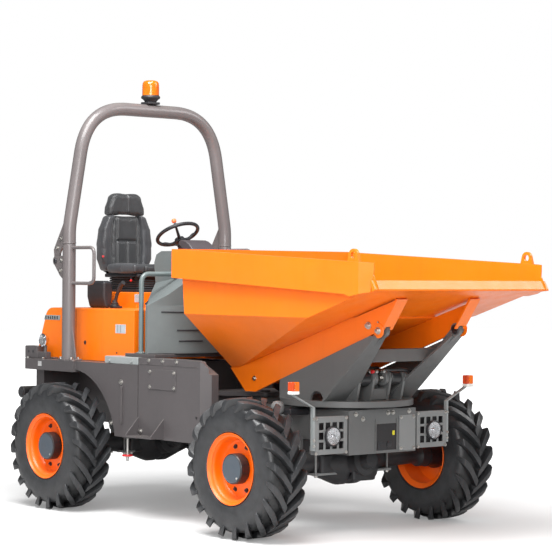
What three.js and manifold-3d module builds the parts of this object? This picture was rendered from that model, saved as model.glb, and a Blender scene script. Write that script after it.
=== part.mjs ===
// Site dumper with a swivelling tip skip: an articulated four-wheel machine.
// Millimetres, +X forward to the skip, +Y left, +Z up, ground at z = 0.
// The origin is on the ground at the middle of the overall length and width.
import * as THREE from 'three';
import { mergeVertices } from 'three/addons/utils/BufferGeometryUtils.js';
import Module from 'manifold-3d';

const wasm = await Module();
wasm.setup();

// ---- Driving dimensions -------------------------------------------------

const fit = 0.3; // gap between pieces that touch
const sides = [['left', 1], ['right', -1]];

// Axles and articulation
const rearAxleX = -1335; // rear axle from the middle of the machine
const wheelbase = 2290;
const pivotFromRearAxle = 1400; // articulation pin
const halfTrack = 930;

// Wheels
const tyreRadius = 495;
const tyreHalfWidth = 159;
const sidewallRadius = tyreRadius - 105; // widest part of the sidewall
const rimRadius = 254; // rim flange
const rimSeatRadius = 228; // bead seat
const wellRadius = 216; // inside of the rim's barrel
const discRadius = 196; // flat part of the wheel's disc
const hubNeck = 90; // axle flange behind the disc
const rimHalfWidth = 152;
const hubRadius = 108;
const hubChamfer = 8;
const hubReach = 135; // hub face from the wheel's middle plane
const wheelBackReach = 100; // wheel's mounting face, inboard of the middle plane
const discFront = 40; // flat of the wheel's disc, outboard of the middle plane
const discBack = 26;
const wellRamp = 56; // where the disc meets the rim's barrel

// Axles
const axleTube = 62; // radii
const axleFlange = 85;
const diffRadius = 172;
const pinionRadius = 95;
const axleFlangeLength = 90;
const diffHalf = 130;
const pinionReach = 250;
const pinionRise = 40;
const axlePadHalfLength = 70;
const axlePadHalfWidth = 50;

// Rear frame
const deckHalfWidth = 850;
const deckDepth = 87; // height of the perimeter beam
const tyreClearance = 80; // between the tyres and the deck's beam
const deckTop = 2 * tyreRadius + tyreClearance + deckDepth;
const deckRear = -700; // from the rear axle
const deckCorner = 110; // rear corner radius
const deckBeamWidth = 110; // rear beam, front to back
const deckBeamFront = 60; // front end of the side beams
const wellHalfWidth = 640; // opening inside the perimeter beam
const chassisPlate = 20;
const chassisHalfWidth = 350; // outside of the rear frame's long plates
const chassisFloor = 640; // lower edge of the long plates
const chassisPlateFront = pivotFromRearAxle - 320;
const crossPlateGap = 120; // between the two cross plates at the yoke
const wingPlate = 30;
const wingFront = pivotFromRearAxle - 520;
const wingFloor = 600;
const archRadius = tyreRadius + 105;
const bulkheadX = pivotFromRearAxle - 760;
const shelfPlate = 15;
const counterweightDepth = 130;
const counterweightFloor = 800;
const counterweightHalfWidth = 700;
const bumperRadius = 47;
const bumperZ = 870;
const bumperHalfLength = 780;
const bumperGap = 40; // bar to the deck's rear edge
const bumperArmInner = 560;
const bumperArmOuter = 620;
const bumperArmHalf = 30;

// Articulation yoke and tongue
const yokeRadius = 110;
const yokePlate = 30;
const yokeTop = 955;
const yokeBottom = 560;
const pinRadius = 40;
const tongueGap = 8; // between the tongue and the yoke's plates

// Side tanks, one each side of the operator's floor
const tankRear = wingFront + 10;
const tankLength = 810;
const tankInner = 705;
const tankOuter = 830;
const tankFloor = 610;
const tankTop = deckTop + 58;
const tankChamfer = 60;
const tankNoseDrop = 75; // sloping front edge of the tank's top
const tankLedgeInner = 80; // ledge along the tank's inner top edge, under the turning swivel frame
const tankLedgeLength = 200;
const tankLedgeDrop = 100;
const stepLength = 320;
const stepReach = 120;
const stepPlate = 10;
const stepHeight = 150;
const stepRise = 10; // above the tank's floor
const gussetNose = 20;

// Operator's floor and seat console
const floorPlate = 25;
const floorFront = bulkheadX + 445;
const floorHalfWidth = 780;
const consoleFront = bulkheadX + 20;
const consoleHalfWidth = 690;
const footwellHalfWidth = 330;
const panel = 12; // moulded and sheet panels
const floorLegInner = 700; // legs that carry the floor on the shelves
const floorLegOuter = 760;

// Hood with the seat on it
const hoodRear = -720;
const hoodFront = 220;
const hoodHeight = 413; // above the deck
const hoodTop = deckTop + hoodHeight;
const hoodHalfWidth = 680;
const hoodRearTop = -500; // top of the sloping rear face
const plinthRear = -380;
const plinthFront = 110;
const plinthHalfWidth = 270;
const plinthTop = hoodTop + 130;
const seatHalfWidth = 268;
const suspensionHalfWidth = 210;
const suspensionTop = plinthTop + 150;
const cushionTop = suspensionTop + 85;
const seatFront = 80;
const seatBackX = -430; // middle of the backrest
const seatBackThick = 120;
const seatBackTop = cushionTop + 415;
const headrestTop = seatBackTop + 182;
const headrestHalfWidth = 200;
const hoodCorner = 100; // radius of the hood's rear top corner

// Side console and brake lever, to the right of the seat
const sideConsoleRear = -370;
const sideConsoleFront = -130;
const sideConsoleInner = 330;
const sideConsoleOuter = 425;
const sideConsoleWaist = hoodTop + 90;
const sideConsoleTop = hoodTop + 217;
const leverY = 365;
const leverFoot = -60;
const leverTip = 60;
const leverRadius = 14;

// Engine
const engineRear = -480;
const engineFront = 180;
const engineHalfWidth = 270;
const engineTop = deckTop + 173;
const engineRail = 40; // height of the bearers under the engine
const engineRailWidth = 60;

// Cowl, dash and steering
const cowlWaistZ = deckTop + 453; // top of the wide lower cowl
const cowlShoulderZ = cowlWaistZ + 230;
const cowlSkirtTop = cowlShoulderZ - 60; // rear edge of the flare that widens down to the foot
const cowlSkirtFoot = cowlWaistZ + 90;
const cowlTop = deckTop + 873;
const cowlRear = floorFront - 600;
const cowlHalfWidth = 380;
const cowlFootRear = floorFront - 180;
const dashRear = cowlRear;
const dashFront = cowlRear + 100;
const dashTop = cowlTop + 95;
const dashHalfWidth = 120;
const steeringRadius = 170;
const steeringTube = 15;
const steeringX = cowlRear - 190; // rim centre from the rear axle
const steeringZ = cowlTop + 142;
const steeringTilt = 30; // degrees
const hubDrop = 56; // hub below the rim's plane
const hubHalf = 20;
const hubOfWheel = 42; // radii of the steering wheel's parts
const spokeRadius = 12;
const knobRadius = 20;
const knobHeight = 62;
const spokeAngles = [70, 190, 310]; // degrees round the rim
const knobAngle = 70;
const columnRadius = 28;
const handrailX = cowlFootRear - 105;
const handrailY = 740;
const handrailTop = cowlTop - 180;
const handrailRadius = 19;
const handrailBend = 90;

// Roll-over hoop
const hoopTube = 53; // tube radius
const postX = -80;
const postY = 800;
const jointZ = deckTop + 928; // where the folding part meets the posts
const hoopTopZ = jointZ + 1103;
const hoopLeanZ = jointZ + 130; // where the hoop's legs start to lean in
const hoopCornerY = 632; // corner of the hoop's centre line
const hoopBend = 380;
const foldPinX = -235;
const foldPinZ = jointZ - 135;
const gussetPlate = 12;
const loopRadius = 14; // grab loop on each post
const loopReach = 340;
const loopTop = jointZ - 31;
const loopFloor = jointZ - 313;
const beaconRadius = 66;
const beaconFlange = 80;
const beaconLens = 70;
const beaconHeight = 198;

// Front frame
const frontHalfWidth = 330;
const frontBoxRear = pivotFromRearAxle - wheelbase + 220; // from the front axle
const frontFace = 410;
const frontFloor = 580;
const frontTop = 895;
const frontPlate = 20;
const guardInner = 345;
const guardOuter = 650;
const guardFloor = 598;
const guardTop = 862;
const guardPlate = 8;
const guardDepth = 48;
const guardFootTop = 658;
const lampRadius = 72;
const lampY = 500;
const lampZ = 725;
const lampBodyDepth = 22;
const lampDepth = 40;
const guardColumns = 4;
const guardRows = 3;
const guardPitchY = 63;
const guardPitchZ = 68;
const guardHoleY = 45;
const guardHoleZ = 50;
const lampPlateDepth = 12;
const indicatorArm = 20; // thickness of the arm
const armBendZ = 930;
const indicatorInner = 825;
const indicatorOuter = 900;
const indicatorFloor = 1028;
const indicatorTop = 1116;
const indicatorDepth = 50;

// Turntable and swivel frame, from the turntable's axis
const turntableX = 26; // from the front axle
const turntableRadius = 488;
const slewRingRadius = 400;
const slewRingTop = 915;
const turntableTop = 958;
const swivelPlateOuter = 436;
const swivelPlate = 20;
const swivelPlateRear = -245;
const swivelPlateFoot = 230; // front of the side plates at the turntable
const crossbarX = 428; // rear face of the bar between the side plates
const scoopX = 158; // half-round opening at the foot of each side plate
const scoopRadius = 70;

// Skip, from the turntable's axis
const tipPinX = 762;
const tipPinZ = 1472;
const tipPinRadius = 24;
const skipHalfWidth = 830;
const skipWall = 10;
const rimBand = 55; // rim section, outward
const rimDepth = 212;
const skipRearTopX = -956;
const skipRimRearZ = 2036;
const skipRimFrontZ = 1936;
const lipX = 1188;
const lipZ = 1752;
const lipDepth = 68;
const lipRake = 34; // the lip strip leans back by this much
const rimChamfer = 90; // oblique front end of the rim's side sections
const eyeX = 984; // lifting eyes on the rim
const eyeRadius = 44;
const eyeHole = 24;
const eyeRise = 42; // hole's centre above the rim
const eyeInner = 842;
const eyePlate = 22;
const skipFootX = -741; // where the flat rear floor meets the sloping floor
const skipFootZ = 1159;
const skipFloorSlope = 0.3226;
const skipFloorFront = 970;
const skipBellyX = -839; // lowest point of the rear wall
const skipBellyZ = 1155;
const skipRearWallX = -894; // rear wall's vertical top
const skipRearWallZ = 1820;
const skipRearKneeX = -870;
const skipWaistZ = 1559; // where the walls lean in towards the floor
const skipFloorHalfWidth = 400;
const skipRimFrontX = 1148;
const skipBeamOuter = 410;
const skipBeamPlate = 20;
const beamLowX = -554; // lowest rear corner of the skip's beams
const beamLowZ = 987;
const beamSlope = 0.3642;
const beamFrontX = 794;
const beamHeadX = 945; // front of the beams where they meet the floor
const beamHeadZ = 1690;

// Tip rams
const ramY = 150;
const ramBaseX = 321;
const ramBaseZ = 1115;
const ramEyeX = -566;
const ramEyeZ = 1100;
const ramBarrelRadius = 48;
const ramRodRadius = 30;
const ramEyeRadius = 46;
const ramEyeHalf = 26;
const ramEarInner = 58; // ram's middle plane to the ears on the swivel frame
const ramEarPlate = 20;
const ramPinRadius = 24;
const ramGland = 762; // base pin to the barrel's open end
const ramRodTail = 65; // base pin to the rod's inner end

// Steering ram
const steerBaseX = pivotFromRearAxle - 870; // from the rear axle
const steerY = 420;
const steerZ = 790;
const steerLug = 38; // ram axis to the lugs above it
const steerLugPlate = 20;
const steerGland = 595; // base pin to the barrel's open end
const steerRodTail = 320;
const steerBarrelRadius = 34;
const steerRodRadius = 18;
const steerEyeRadius = 38;
const steerRodEyeRadius = 34;

// ---- Shape helpers --------------------------------------------------------

const rad = THREE.MathUtils.degToRad;

/** A closed three.js geometry as a solid that can be cut and joined. */
function solid(geometry) {
  const plain = geometry.index ? geometry : geometry.clone();
  plain.deleteAttribute('normal');
  plain.deleteAttribute('uv');
  const merged = mergeVertices(plain, 1e-3);
  return new wasm.Manifold(new wasm.Mesh({
    numProp: 3,
    vertProperties: new Float32Array(merged.attributes.position.array),
    triVerts: new Uint32Array(merged.index.array),
  }));
}

/** Joins a list of solids into one. */
const join = (...parts) => parts.flat().reduce((all, next) => all.add(next));

/** The solid that wraps a set of points. */
const hull = (points) => wasm.Manifold.hull(points);

/** A box between two corners. */
function box(x0, x1, y0, y1, z0, z1) {
  const geometry = new THREE.BoxGeometry(Math.abs(x1 - x0), Math.abs(y1 - y0), Math.abs(z1 - z0));
  geometry.translate((x0 + x1) / 2, (y0 + y1) / 2, (z0 + z1) / 2);
  return solid(geometry);
}

/** A flat outline of [u, v] points, extruded. */
function extruded(points, depth) {
  const shape = new THREE.Shape(points.map(([u, v]) => new THREE.Vector2(u, v)));
  return new THREE.ExtrudeGeometry(shape, { depth, bevelEnabled: false });
}

/** An outline in x and z, extruded along y. */
function prismY(points, y0, y1) {
  const geometry = extruded(points, Math.abs(y1 - y0));
  geometry.rotateX(Math.PI / 2);
  geometry.translate(0, Math.max(y0, y1), 0);
  return solid(geometry);
}

/** An outline in y and z, extruded along x. */
function prismX(points, x0, x1) {
  const geometry = extruded(points, Math.abs(x1 - x0));
  const turn = new THREE.Matrix4().makeBasis(
    new THREE.Vector3(0, 1, 0), new THREE.Vector3(0, 0, 1), new THREE.Vector3(1, 0, 0),
  );
  geometry.applyMatrix4(turn);
  geometry.translate(Math.min(x0, x1), 0, 0);
  return solid(geometry);
}

/** An outline in x and y, extruded along z. */
function prismZ(points, z0, z1) {
  const geometry = extruded(points, Math.abs(z1 - z0));
  geometry.translate(0, 0, Math.min(z0, z1));
  return solid(geometry);
}

/** A round bar between two points. */
function bar(from, to, radius, segments = 16) {
  const a = new THREE.Vector3(...from);
  const b = new THREE.Vector3(...to);
  const geometry = new THREE.CylinderGeometry(radius, radius, a.distanceTo(b), segments);
  const along = b.clone().sub(a).normalize();
  geometry.applyQuaternion(new THREE.Quaternion().setFromUnitVectors(new THREE.Vector3(0, 1, 0), along));
  geometry.translate((a.x + b.x) / 2, (a.y + b.y) / 2, (a.z + b.z) / 2);
  return solid(geometry);
}

/** A disc or bar along y. */
const barY = (x, z, y0, y1, radius, segments = 20) => bar([x, y0, z], [x, y1, z], radius, segments);

/** A disc or bar along z. */
const barZ = (x, y, z0, z1, radius, segments = 24) => bar([x, y, z0], [x, y, z1], radius, segments);

/** A bent tube through corner points, each corner rounded to its bend radius. */
function bentTube(corners, radius, bend, segments = 10, steps = 28) {
  const points = corners.map((corner) => new THREE.Vector3(...corner));
  const path = new THREE.CurvePath();
  let start = points[0];
  for (let i = 1; i < points.length - 1; i += 1) {
    const before = points[i].clone().sub(points[i - 1]);
    const after = points[i + 1].clone().sub(points[i]);
    const reach = Math.min(bend, before.length() * 0.48, after.length() * 0.48);
    const into = points[i].clone().sub(before.normalize().multiplyScalar(reach));
    const out = points[i].clone().add(after.normalize().multiplyScalar(reach));
    path.add(new THREE.LineCurve3(start, into));
    path.add(new THREE.QuadraticBezierCurve3(into, points[i], out));
    start = out;
  }
  path.add(new THREE.LineCurve3(start, points[points.length - 1]));
  const section = new THREE.Shape(Array.from({ length: segments }, (_, i) => new THREE.Vector2(
    radius * Math.cos((i / segments) * 2 * Math.PI),
    radius * Math.sin((i / segments) * 2 * Math.PI),
  )));
  return solid(new THREE.ExtrudeGeometry(section, { steps, bevelEnabled: false, extrudePath: path }));
}

/** A profile of [radius, along] points turned about the y axis, outboard towards side * y. */
function turned(profile, side, segments) {
  const points = profile.map(([radius, along]) => new THREE.Vector2(radius, along));
  const geometry = new THREE.LatheGeometry(points, segments);
  let body = solid(geometry);
  if (body.volume() < 0) body = solid(geometry.scale(-1, 1, 1));
  return side > 0 ? body : body.mirror([0, 1, 0]);
}

/** Points on an arc about a centre, in degrees from the first axis. */
function arc(cu, cv, radius, from, to, count = 6) {
  return Array.from({ length: count + 1 }, (_, i) => {
    const angle = rad(from + ((to - from) * i) / count);
    return [cu + radius * Math.cos(angle), cv + radius * Math.sin(angle)];
  });
}

// ---- Finishes --------------------------------------------------------------

/** A paint, plastic or metal. */
function finish(color, roughness, metalness = 0) {
  return new THREE.MeshStandardMaterial({ color, roughness, metalness });
}

const orangePaint = finish(0xf07818, 0.4);
const frameGrey = finish(0x6d6f70, 0.5);
const darkGrey = finish(0x5f5b5a, 0.5);
const hoopGrey = finish(0x877f7f, 0.45);
const cowlPlastic = finish(0xaeb2b4, 0.6);
const blackPlastic = finish(0x2b2b2d, 0.6);
const tyreRubber = finish(0x3b3d3e, 0.85);
const seatVinyl = finish(0x3a3a3c, 0.55);
const castIron = finish(0x333537, 0.7, 0.4);
const steelBright = finish(0xc8c8cc, 0.25, 0.9);
const lampGlass = finish(0xe8e8e8, 0.2, 0.4);
const amberLens = finish(0xe8871e, 0.3);

// ---- Scene graph -------------------------------------------------------------

const dumper = new THREE.Group();
const rear = new THREE.Group(); // origin on the ground under the rear axle
const front = new THREE.Group(); // origin on the ground under the front axle
const swivel = new THREE.Group(); // origin on the ground under the turntable
rear.position.x = rearAxleX;
front.position.x = rearAxleX + wheelbase;
swivel.position.x = turntableX;
dumper.add(rear, front);
front.add(swivel);

/** Adds one named piece to a group. */
function piece(group, name, body, material) {
  const { vertProperties, triVerts, numProp } = body.getMesh();
  const positions = new Float32Array((vertProperties.length / numProp) * 3);
  for (let i = 0; i < positions.length / 3; i += 1) {
    positions.set(vertProperties.subarray(i * numProp, i * numProp + 3), i * 3);
  }
  const geometry = new THREE.BufferGeometry();
  geometry.setAttribute('position', new THREE.BufferAttribute(positions, 3));
  geometry.setIndex(new THREE.BufferAttribute(new Uint32Array(triVerts), 1));
  geometry.computeVertexNormals();
  const mesh = new THREE.Mesh(geometry, material);
  mesh.name = name;
  group.add(mesh);
  return mesh;
}

// ---- Wheels -----------------------------------------------------------------

const beadHalf = rimHalfWidth - 24;
const wheelFacets = 24; // rim and tyre share them, so that they nest

function rimBody(side) {
  return turned([
    [0, hubReach], [hubRadius - hubChamfer, hubReach], [hubRadius, hubReach - hubChamfer],
    [hubRadius, discFront + 6], [discRadius, discFront], [wellRadius, wellRamp],
    [wellRadius, beadHalf + 2], [rimRadius - 9, rimHalfWidth], [rimRadius, rimHalfWidth - 9],
    [rimSeatRadius, beadHalf], [rimSeatRadius, -beadHalf], [rimRadius, -rimHalfWidth],
    [wellRadius, -beadHalf - 2], [wellRadius, discBack], [hubRadius, discBack], [hubNeck, -wheelBackReach],
    [0, -wheelBackReach],
  ].reverse(), side, wheelFacets);
}

function tyreBody(side) {
  const half = [
    [rimSeatRadius + fit, beadHalf - 1],
    [rimRadius + 1, rimHalfWidth - 12], [rimRadius + 2, rimHalfWidth - 3],
    [sidewallRadius, tyreHalfWidth], [tyreRadius - 30, tyreHalfWidth - 12], [tyreRadius, tyreHalfWidth - 42],
  ];
  const ring = [...half, ...half.map(([r, w]) => [r, -w]).reverse()];
  return turned([...ring, ring[0]], side, wheelFacets);
}

for (const [axle, group] of [['front', front], ['rear', rear]]) {
  for (const [hand, side] of sides) {
    const wheel = new THREE.Group();
    wheel.position.set(0, side * halfTrack, tyreRadius);
    group.add(wheel);
    piece(wheel, `rim_${axle}_${hand}`, rimBody(side), orangePaint);
    piece(wheel, `tyre_${axle}_${hand}`, tyreBody(side), tyreRubber);
  }
}

// ---- Axles --------------------------------------------------------------------

const axleEnd = halfTrack - wheelBackReach - fit;

/** Axle beam with its differential housing, and pads up to the frame. */
function axleBody(padY, padTop) {
  const z = tyreRadius;
  const flangeInner = axleEnd - axleFlangeLength;
  const ends = sides.map(([, side]) => barY(0, z, side * (axleEnd - 2), side * flangeInner, axleFlange, 16));
  const pads = sides.map(([, side]) => box(-axlePadHalfLength, axlePadHalfLength,
    side * padY - axlePadHalfWidth, side * padY + axlePadHalfWidth, z, padTop - fit));
  return join(
    barY(0, z, -axleEnd, axleEnd, axleTube, 16),
    barY(0, z, -diffHalf, diffHalf, diffRadius, 20),
    bar([0, 0, z], [pinionReach, 0, z + pinionRise], pinionRadius, 16),
    ends,
    pads,
  );
}

piece(rear, 'rear_axle', axleBody(chassisHalfWidth - 20, chassisFloor), castIron);
piece(front, 'front_axle', axleBody(frontHalfWidth - 40, frontFloor), castIron);

// ---- Rear frame -----------------------------------------------------------------

function rearFrameBody() {
  const deckFloor = deckTop - deckDepth;
  const corner = deckRear + deckCorner;
  const cornerY = deckHalfWidth - deckCorner;
  const ring = prismZ([
    [deckBeamFront, -deckHalfWidth], [deckBeamFront, deckHalfWidth],
    ...arc(corner, cornerY, deckCorner, 90, 180), ...arc(corner, -cornerY, deckCorner, 180, 270),
  ], deckFloor, deckTop).subtract(
    box(deckRear + deckBeamWidth, deckBeamFront + 1, -wellHalfWidth, wellHalfWidth,
      deckFloor - 1, deckTop + 1),
  );
  const parts = [ring];
  parts.push(box(deckRear + 20, deckRear + counterweightDepth,
    -counterweightHalfWidth, counterweightHalfWidth, counterweightFloor, deckFloor + 1));
  const arches = sides.map(([, side]) => barY(0, tyreRadius, side * (tankOuter - 60), side * (tankOuter + 10),
    archRadius, 40));
  const ramWindows = sides.map(([, side]) => box(bulkheadX - 1, bulkheadX + chassisPlate + 1,
    side * (steerY - 55), side * (steerY + 55), steerZ - 50, steerZ + 70));
  parts.push(box(bulkheadX, bulkheadX + chassisPlate, -tankOuter + 5, tankOuter - 5, wingFloor, deckTop)
    .subtract(join(ramWindows, arches)));
  for (const [, side] of sides) {
    const outer = side * tankOuter;
    const rail = side * (chassisHalfWidth - 5); // overlaps the long plate that it is welded to
    const wing = box(deckBeamFront - 30, wingFront, outer - side * wingPlate, outer, wingFloor, deckTop)
      .subtract(join(arches));
    const shelf = box(deckBeamFront - 30, wingFront, side * wellHalfWidth, outer,
      deckTop - shelfPlate, deckTop);
    const long = box(deckRear + 40, chassisPlateFront, side * (chassisHalfWidth - chassisPlate),
      side * chassisHalfWidth, chassisFloor, deckTop - deckDepth + 1);
    const heights = [[tankFloor + 20, steerZ - 55], [steerZ + 55, yokeTop - yokePlate]];
    const outriggers = heights.map(([z0, z1]) => box(chassisPlateFront - chassisPlate, chassisPlateFront,
      rail, side * (tankInner - fit), z0, z1));
    const steerEar = box(steerBaseX - 45, steerBaseX + 45, rail, side * (steerY + 50),
      steerZ + steerLug, steerZ + steerLug + steerLugPlate);
    parts.push(wing, shelf, long, ...outriggers, steerEar);
  }
  for (const z of [yokeBottom, yokeTop - yokePlate]) {
    const pivot = pivotFromRearAxle;
    parts.push(prismZ([
      [chassisPlateFront - crossPlateGap, -chassisHalfWidth], [chassisPlateFront + 20, -chassisHalfWidth],
      ...arc(pivot, 0, yokeRadius, -50, 50, 10),
      [chassisPlateFront + 20, chassisHalfWidth], [chassisPlateFront - crossPlateGap, chassisHalfWidth],
    ], z, z + yokePlate));
  }
  for (const x of [chassisPlateFront - crossPlateGap, chassisPlateFront - chassisPlate]) {
    parts.push(box(x, x + chassisPlate, -chassisHalfWidth + 5, chassisHalfWidth - 5, yokeBottom, yokeTop));
  }
  for (const x of [engineRear + 80, engineFront - 60]) {
    parts.push(box(x, x + engineRailWidth, -chassisHalfWidth + 5, chassisHalfWidth - 5,
      chassisFloor, chassisFloor + engineRail));
  }
  parts.push(barZ(pivotFromRearAxle, 0, yokeBottom - 12, yokeTop + 12, pinRadius));
  return join(parts);
}

piece(rear, 'rear_frame', rearFrameBody(), darkGrey);

function bumperBody() {
  const x = deckRear - bumperRadius - bumperGap;
  const mounts = sides.map(([, side]) => box(x, deckRear + 20 - fit,
    side * bumperArmInner, side * bumperArmOuter, bumperZ - bumperArmHalf, bumperZ + bumperArmHalf));
  return join(barY(x, bumperZ, -bumperHalfLength, bumperHalfLength, bumperRadius, 20), mounts);
}

piece(rear, 'rear_bumper', bumperBody(), blackPlastic);

piece(rear, 'engine', box(engineRear, engineFront, -engineHalfWidth, engineHalfWidth,
  chassisFloor + engineRail + fit, engineTop), castIron);

for (const [hand, side] of sides) {
  const lampBase = deckTop + fit;
  const lamp = join(
    box(-690, -400, side * 725, side * 810, lampBase, lampBase + 105),
    bar([-430, side * 770, lampBase + 60], [-400, side * 770, lampBase + 150], 20, 12),
    barY(-392, lampBase + 165, side * 745, side * 790, 50, 20),
  );
  piece(rear, `rear_lamp_${hand}`, lamp, darkGrey);
}

// ---- Side tanks with steps ---------------------------------------------------------

for (const [hand, side] of sides) {
  const tankFront = tankRear + tankLength;
  const tank = prismZ([
    [tankRear, side * tankInner], [tankFront, side * tankInner],
    [tankFront, side * (tankOuter - tankChamfer)], [tankFront - tankChamfer, side * tankOuter],
    [tankRear, side * tankOuter],
  ], tankFloor, tankTop).intersect(prismY([
    [tankRear - 1, tankFloor - 1], [tankFront + 1, tankFloor - 1], [tankFront + 1, tankTop - tankNoseDrop],
    [tankFront - tankChamfer, tankTop + 1], [tankRear - 1, tankTop + 1],
  ], side * (tankInner - 1), side * (tankOuter + 1))).subtract(prismY([
    [tankFront - tankLedgeLength, tankTop + 1], [tankFront + 1, tankTop + 1],
    [tankFront + 1, tankTop - tankLedgeDrop],
  ], side * (tankInner - 1), side * (tankInner + tankLedgeInner)));
  const stepZ = tankFloor + stepRise;
  const step = box(tankRear, tankRear + stepLength, side * (tankOuter - 2), side * (tankOuter + stepReach),
    stepZ, stepZ + stepPlate);
  const gussets = [tankRear, tankRear + stepLength - stepPlate].map((x) => prismX([
    [side * (tankOuter - 2), stepZ], [side * (tankOuter + stepReach), stepZ],
    [side * (tankOuter + stepReach), stepZ + gussetNose], [side * (tankOuter - 2), stepZ + stepHeight],
  ], x, x + stepPlate));
  piece(rear, `side_tank_${hand}`, join(tank, step, gussets), darkGrey);
}

// ---- Floor, seat console, hood and seat ---------------------------------------------

const floorBase = tankTop + fit;
const floorTop = floorBase + floorPlate;
piece(rear, 'floor_plate', join(
  box(consoleFront - 10, floorFront - 60, -floorHalfWidth, floorHalfWidth, floorBase, floorTop),
  box(hoodFront + 30, floorFront - 60, -footwellHalfWidth + 20, footwellHalfWidth - 20, floorBase, floorTop),
  sides.map(([, side]) => box(bulkheadX, wingFront - 10, side * floorLegInner, side * floorLegOuter,
    deckTop + fit, floorTop)),
), darkGrey);

function consoleBody(side) {
  const base = deckTop + fit;
  const rearEdge = hoodFront + 6;
  const frontEdge = consoleFront - 20;
  return box(rearEdge, frontEdge, side * footwellHalfWidth, side * consoleHalfWidth, base, hoodTop)
    .subtract(box(rearEdge + panel, frontEdge - panel, side * (footwellHalfWidth + panel),
      side * (consoleHalfWidth - panel), base - 1, hoodTop - panel));
}

for (const [hand, side] of sides) piece(rear, `seat_console_${hand}`, consoleBody(side), orangePaint);

function hoodBody() {
  const base = deckTop + fit;
  const cornerX = hoodRearTop + 10;
  const sideOutline = (inset, floor) => [
    [hoodRear + inset, floor], [hoodFront - inset, floor], [hoodFront - inset, hoodTop - inset],
    ...arc(cornerX, hoodTop - hoodCorner, hoodCorner - inset, 90, 165, 5),
  ];
  const shell = prismY(sideOutline(0, base), -hoodHalfWidth, hoodHalfWidth)
    .subtract(prismY(sideOutline(panel, base - 1), -hoodHalfWidth + panel, hoodHalfWidth - panel));
  const plinth = box(plinthRear, plinthFront, -plinthHalfWidth, plinthHalfWidth, hoodTop - 2, plinthTop);
  return join(shell, plinth);
}

piece(rear, 'hood', hoodBody(), orangePaint);

piece(rear, 'seat_suspension', join(
  box(plinthRear + 40, plinthFront - 60, -suspensionHalfWidth, suspensionHalfWidth,
    plinthTop + fit, suspensionTop),
  box(seatBackX + 20, plinthRear + 60, -150, 150, suspensionTop - 60, suspensionTop),
), blackPlastic);

piece(rear, 'seat_cushion', box(seatBackX + 80, seatFront, -seatHalfWidth, seatHalfWidth,
  suspensionTop + fit, cushionTop), seatVinyl);

function seatBackBody() {
  const rearFace = seatBackX - seatBackThick / 2;
  const frontFaceX = seatBackX + seatBackThick / 2;
  const half = [
    [seatHalfWidth - 40, suspensionTop + fit],
    [seatHalfWidth, cushionTop + 55], [seatHalfWidth, cushionTop + 205],
    [seatHalfWidth - 60, seatBackTop - 40], [seatHalfWidth - 110, seatBackTop],
  ];
  const headHalf = [
    [headrestHalfWidth, seatBackTop - 10], [headrestHalfWidth - 20, headrestTop - 60],
    [headrestHalfWidth - 85, headrestTop],
  ];
  const bothSides = (points) => [...points, ...points.map(([y, z]) => [-y, z]).reverse()];
  const back = prismX(bothSides(half), rearFace, frontFaceX);
  const head = prismX(bothSides(headHalf), rearFace, frontFaceX - 10);
  return join(back, head);
}

piece(rear, 'seat_back', seatBackBody(), seatVinyl);

piece(rear, 'side_console', prismX([
  [-sideConsoleOuter, sideConsoleWaist], [-sideConsoleOuter + 25, hoodTop + fit],
  [-sideConsoleInner - 15, hoodTop + fit], [-sideConsoleInner, sideConsoleWaist],
  [-sideConsoleInner, sideConsoleTop], [-sideConsoleOuter, sideConsoleTop],
], sideConsoleRear, sideConsoleFront), blackPlastic);

piece(rear, 'brake_lever', join(
  box(leverFoot - 30, leverFoot + 70, -leverY - 35, -leverY + 35, hoodTop + fit, hoodTop + 40),
  bar([leverFoot, -leverY, hoodTop + 30], [leverTip, -leverY, sideConsoleTop], leverRadius, 12),
), blackPlastic);

// ---- Cowl, dash hood and steering -----------------------------------------------------

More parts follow.
